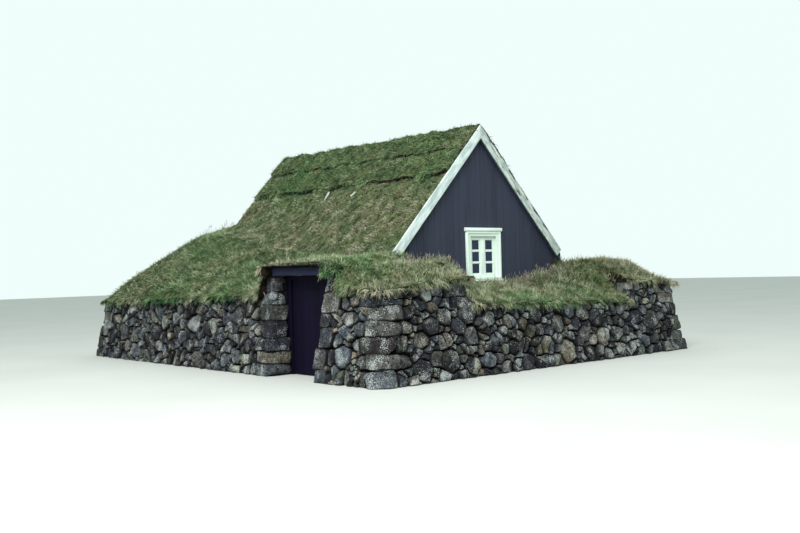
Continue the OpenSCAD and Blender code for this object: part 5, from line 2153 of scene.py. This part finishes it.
@dataclass
class Window(Woodwork):
    """The window: casing, head, sill, two sashes with three panes each, and beads round the panes."""

    bar: float = 0.030
    bead: float = 0.007
    bead_back: float = 0.010
    panes: int = 3

    def build(self, paint: Material, glass: Material) -> None:
        """Makes the window's joinery.

        Args:
            paint: the joinery's finish.
            glass: the panes' finish.
        """
        for node in ("window_casing", "window_head", "window_sill", "sash_left", "sash_right"):
            self.shaped(node, paint, Slot.WINDOW, 0.0025)
        dress_node("glass", glass)
        (x0, back, z0), (x1, _, z1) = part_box("glass")
        lo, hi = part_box("sash_right")
        middle = (x0 + x1) / 2
        inner = min(v.co.x - middle for v in NODES["glass"].data.vertices if v.co.x > middle)
        step = (z1 - z0 + self.bar) / self.panes
        boxes = []
        for side in (-1, 1):
            a, b = sorted((middle + side * inner, middle + side * (x1 - middle)))
            for row in range(self.panes):
                low = z0 + row * step
                high = low + step - self.bar
                if row:
                    boxes.append(((a, lo[1] + 0.004, low - self.bar), (b, hi[1] - 0.006, low)))
                front = lo[1] + self.bead_back
                for p, q in (((a, low), (a + self.bead, high)), ((b - self.bead, low), (b, high)),
                             ((a, low), (b, low + self.bead)), ((a, high - self.bead), (b, high))):
                    boxes.append(((p[0], front, p[1]), (q[0], back, q[1])))
        Workpiece.boxes("window_bars", boxes).bevel(0.0025, 1).smooth(30).hand_over(paint, Slot.WINDOW)


@dataclass
class Doorway(Woodwork):
    """The door in its frame under the lintel board: planks, ledges, iron and nails."""

    planks: int = 7
    groove: float = 0.005
    ledge_height: float = 0.12
    nail_radius: float = 0.006
    lintel_steps: int = 22

    def build(self, boards: Material, grey: Material,
              iron: Material) -> None:
        """Makes the doorway's pieces.

        Args:
            boards: finish of the leaf and frame.
            grey: finish of the lintel board.
            iron: finish of the ironwork.
        """
        lo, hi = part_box("door_leaf")
        step = (hi[1] - lo[1]) / self.planks
        rng = np.random.default_rng(8)
        boxes = [((lo[0], lo[1] + i * step, lo[2]), (hi[0], lo[1] + (i + 1) * step - 0.001, hi[2]))
                 for i in range(self.planks)]
        leaf = Workpiece.boxes("door_planks", boxes, rng.random(self.planks)).bevel(self.groove, 1)
        leaf.smooth(30).hand_over(boards, Slot.DOOR, DOOR, ("door_leaf",))
        self.shaped("door_ledges", boards, Slot.DOOR, 0.006, DOOR)
        self.shaped("door_frame", boards, Slot.DOOR, 0.004)
        for node, finish in (("door_strap", boards), ("hinge_straps", boards), ("hinge_pins", iron)):
            dress_node(node, finish)
        (_, _, bottom), (_, _, top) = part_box("door_ledges")
        spots = [(lo[0], lo[1] + (i + share) * step, low + share * self.ledge_height)
                 for low in (bottom, top - self.ledge_height) for i in range(self.planks)
                 for share in (0.3, 0.7)]
        nail_heads("nails_door", spots, (-1, 0, 0), self.nail_radius, iron, DOOR)
        self.lintel(grey)

    def lintel(self, grey: Material) -> None:
        """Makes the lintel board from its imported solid, its edges worn and its faces uneven.

        Args:
            grey: the board's finish.
        """
        work = Workpiece.copy_of("lintel", "shaped_lintel").flatten()
        (_, near, _), (_, far, _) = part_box("lintel")
        for i in range(1, self.lintel_steps):
            work.slice((0, near + (far - near) * i / self.lintel_steps, 0), (0, 1, 0))
        work.bevel(0.012, 2, 40)
        points = work.points()
        for p in points:
            p[2] += 0.010 * noise.noise(Vector((0, p[1] * 3.0, 1.5)))
            p[0] += 0.006 * noise.noise(Vector((p[0] * 20, p[1] * 4.0, p[2] * 20)))
        work.move_to(points).smooth(40).hand_over(grey, Slot.GREY_BOARD, instead_of=("lintel",))


class RoofTimber:
    """The timber under the turf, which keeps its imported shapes: plates, ridge, rafters and boards."""

    FINISHES = (
        (SawnTimber("pine_timber_sawn_lengthwise", Axis.Y),
         ("wall_plate_left", "wall_plate_right", "ridge_board")),
        (SawnTimber("pine_timber_sawn_rafters", Axis.X), ("rafters",)),
        # Painted light: the roof boards' tar is paler than the gable's, to brighten their shaded underside
        # along the verges.
        (SawnTimber("pine_boards_tarred_painted_paler", Axis.Y, "#353c4d", "#525b70"),
         ("roof_boards_left", "roof_boards_right")))

    def build(self) -> None:
        """Dresses the timbers."""
        for finish, nodes in self.FINISHES:
            material = finish.make()
            for node in nodes:
                dress_node(node, material)


# the picture
@dataclass(frozen=True)
class Studio:
    """A plain pale floor, soft light from a pale sky, and the camera at the photograph's angle."""

    eye: tuple[float, float, float] = (-12.112, -14.917, 1.65)
    yaw: float = 40.84
    pitch: float = 0.30
    roll: float = 1.64
    focal_px: float = 931.85
    image_px: int = 800
    sensor_mm: float = 36.0
    floor_size: float = 160.0
    sky: str = "#effefb"
    lamp_at: tuple[float, float, float] = (-14.0, -12.0, 16.0)
    lamp_size: float = 14.0
    lamp_power: float = 6200.0

    def build(self) -> None:
        """Makes the floor, the lights and the camera."""
        deselect()
        bpy.ops.mesh.primitive_plane_add(size=self.floor_size, location=(0, 0, 0))
        floor = bpy.context.object
        floor.name = "studio_floor"
        floor.data.materials.append(StudioFloor().make())
        self.light()
        self.camera()

    def camera(self) -> None:
        """Puts the camera where the photograph was taken."""
        yaw, pitch, roll = map(math.radians, (self.yaw, self.pitch, self.roll))
        ahead = Vector((math.sin(yaw) * math.cos(pitch), math.cos(yaw) * math.cos(pitch),
                        math.sin(pitch)))
        right = Vector((math.cos(yaw), -math.sin(yaw), 0))
        up = right.cross(ahead)
        x = math.cos(roll) * right - math.sin(roll) * up
        y = math.sin(roll) * right + math.cos(roll) * up
        data = bpy.data.cameras.new("photo_camera")
        data.sensor_width = self.sensor_mm
        data.lens = self.focal_px / self.image_px * self.sensor_mm
        made = bpy.data.objects.new("photo_camera", data)
        bpy.context.scene.collection.objects.link(made)
        made.matrix_world = Matrix((
            (x.x, y.x, -ahead.x, self.eye[0]), (x.y, y.y, -ahead.y, self.eye[1]),
            (x.z, y.z, -ahead.z, self.eye[2]), (0, 0, 0, 1)))
        bpy.context.scene.camera = made

    def light(self) -> None:
        """Makes an even pale sky and one broad lamp from the upper left of the camera."""
        world = bpy.data.worlds.new("studio_sky")
        world.use_nodes = True
        sky = world.node_tree.nodes["Background"]
        sky.inputs["Color"].default_value = linear(self.sky)
        sky.inputs["Strength"].default_value = 1.0
        bpy.context.scene.world = world
        lamp = bpy.data.lights.new("studio_lamp", "AREA")
        lamp.shape, lamp.size = "DISK", self.lamp_size
        lamp.energy = self.lamp_power
        made = bpy.data.objects.new("studio_lamp", lamp)
        bpy.context.scene.collection.objects.link(made)
        made.location = self.lamp_at
        made.rotation_euler = (Vector((0, 0, 1)) - made.location).to_track_quat("-Z", "Y").to_euler()


def main() -> None:
    """Builds every sub-assembly in order."""
    logging.basicConfig(level=logging.INFO, format="%(name)s: %(message)s")
    noise.seed_set(NOISE_SEED)
    bpy.context.scene.view_settings.view_transform = "Standard"
    iron = ForgedIron().make()
    Studio().build()
    Stonework(BasaltRubble().make(), PackedEarth().make(), LaidStone().make()).build()
    Turf(SodTurf().make(), MeadowGrass().make(), SeedHeads().make()).build(
        SawnTimber("driftwood_sticks_bleached", Axis.X, "#98968b", "#d5d4ca").make())
    Gables().build(TarredBoards().make())
    rough = dict(paint="#98a39b", chalk="#ccd7cd", wear=0.88, stain=0.6)
    BargeBoards().build(PeelingPaint("oil_paint_barge_left", lean=PITCH, paint="#b3c1bf",
                                     chalk="#d9e5dd", wear=0.3, stain=0.52).make(),
                        PeelingPaint("oil_paint_barge_right", lean=-PITCH, **rough).make(),
                        PeelingPaint("oil_paint_barge_rear", lean=0.0, wear=0.6).make(), iron)
    Window().build(PeelingPaint("oil_paint_window", paint="#c3d3c8", chalk="#dcebe0", wear=0.12).make(),
                   PaneGlass().make())
    door = TarredBoards("pine_planks_tarred_violet", "#090616", "#110c22", "#28203c", 8.0, 0.64, 0.08)
    Doorway().build(door.make(), GreyedBoard().make(), iron)
    RoofTimber().build()


if __name__ == "__main__":
    main()
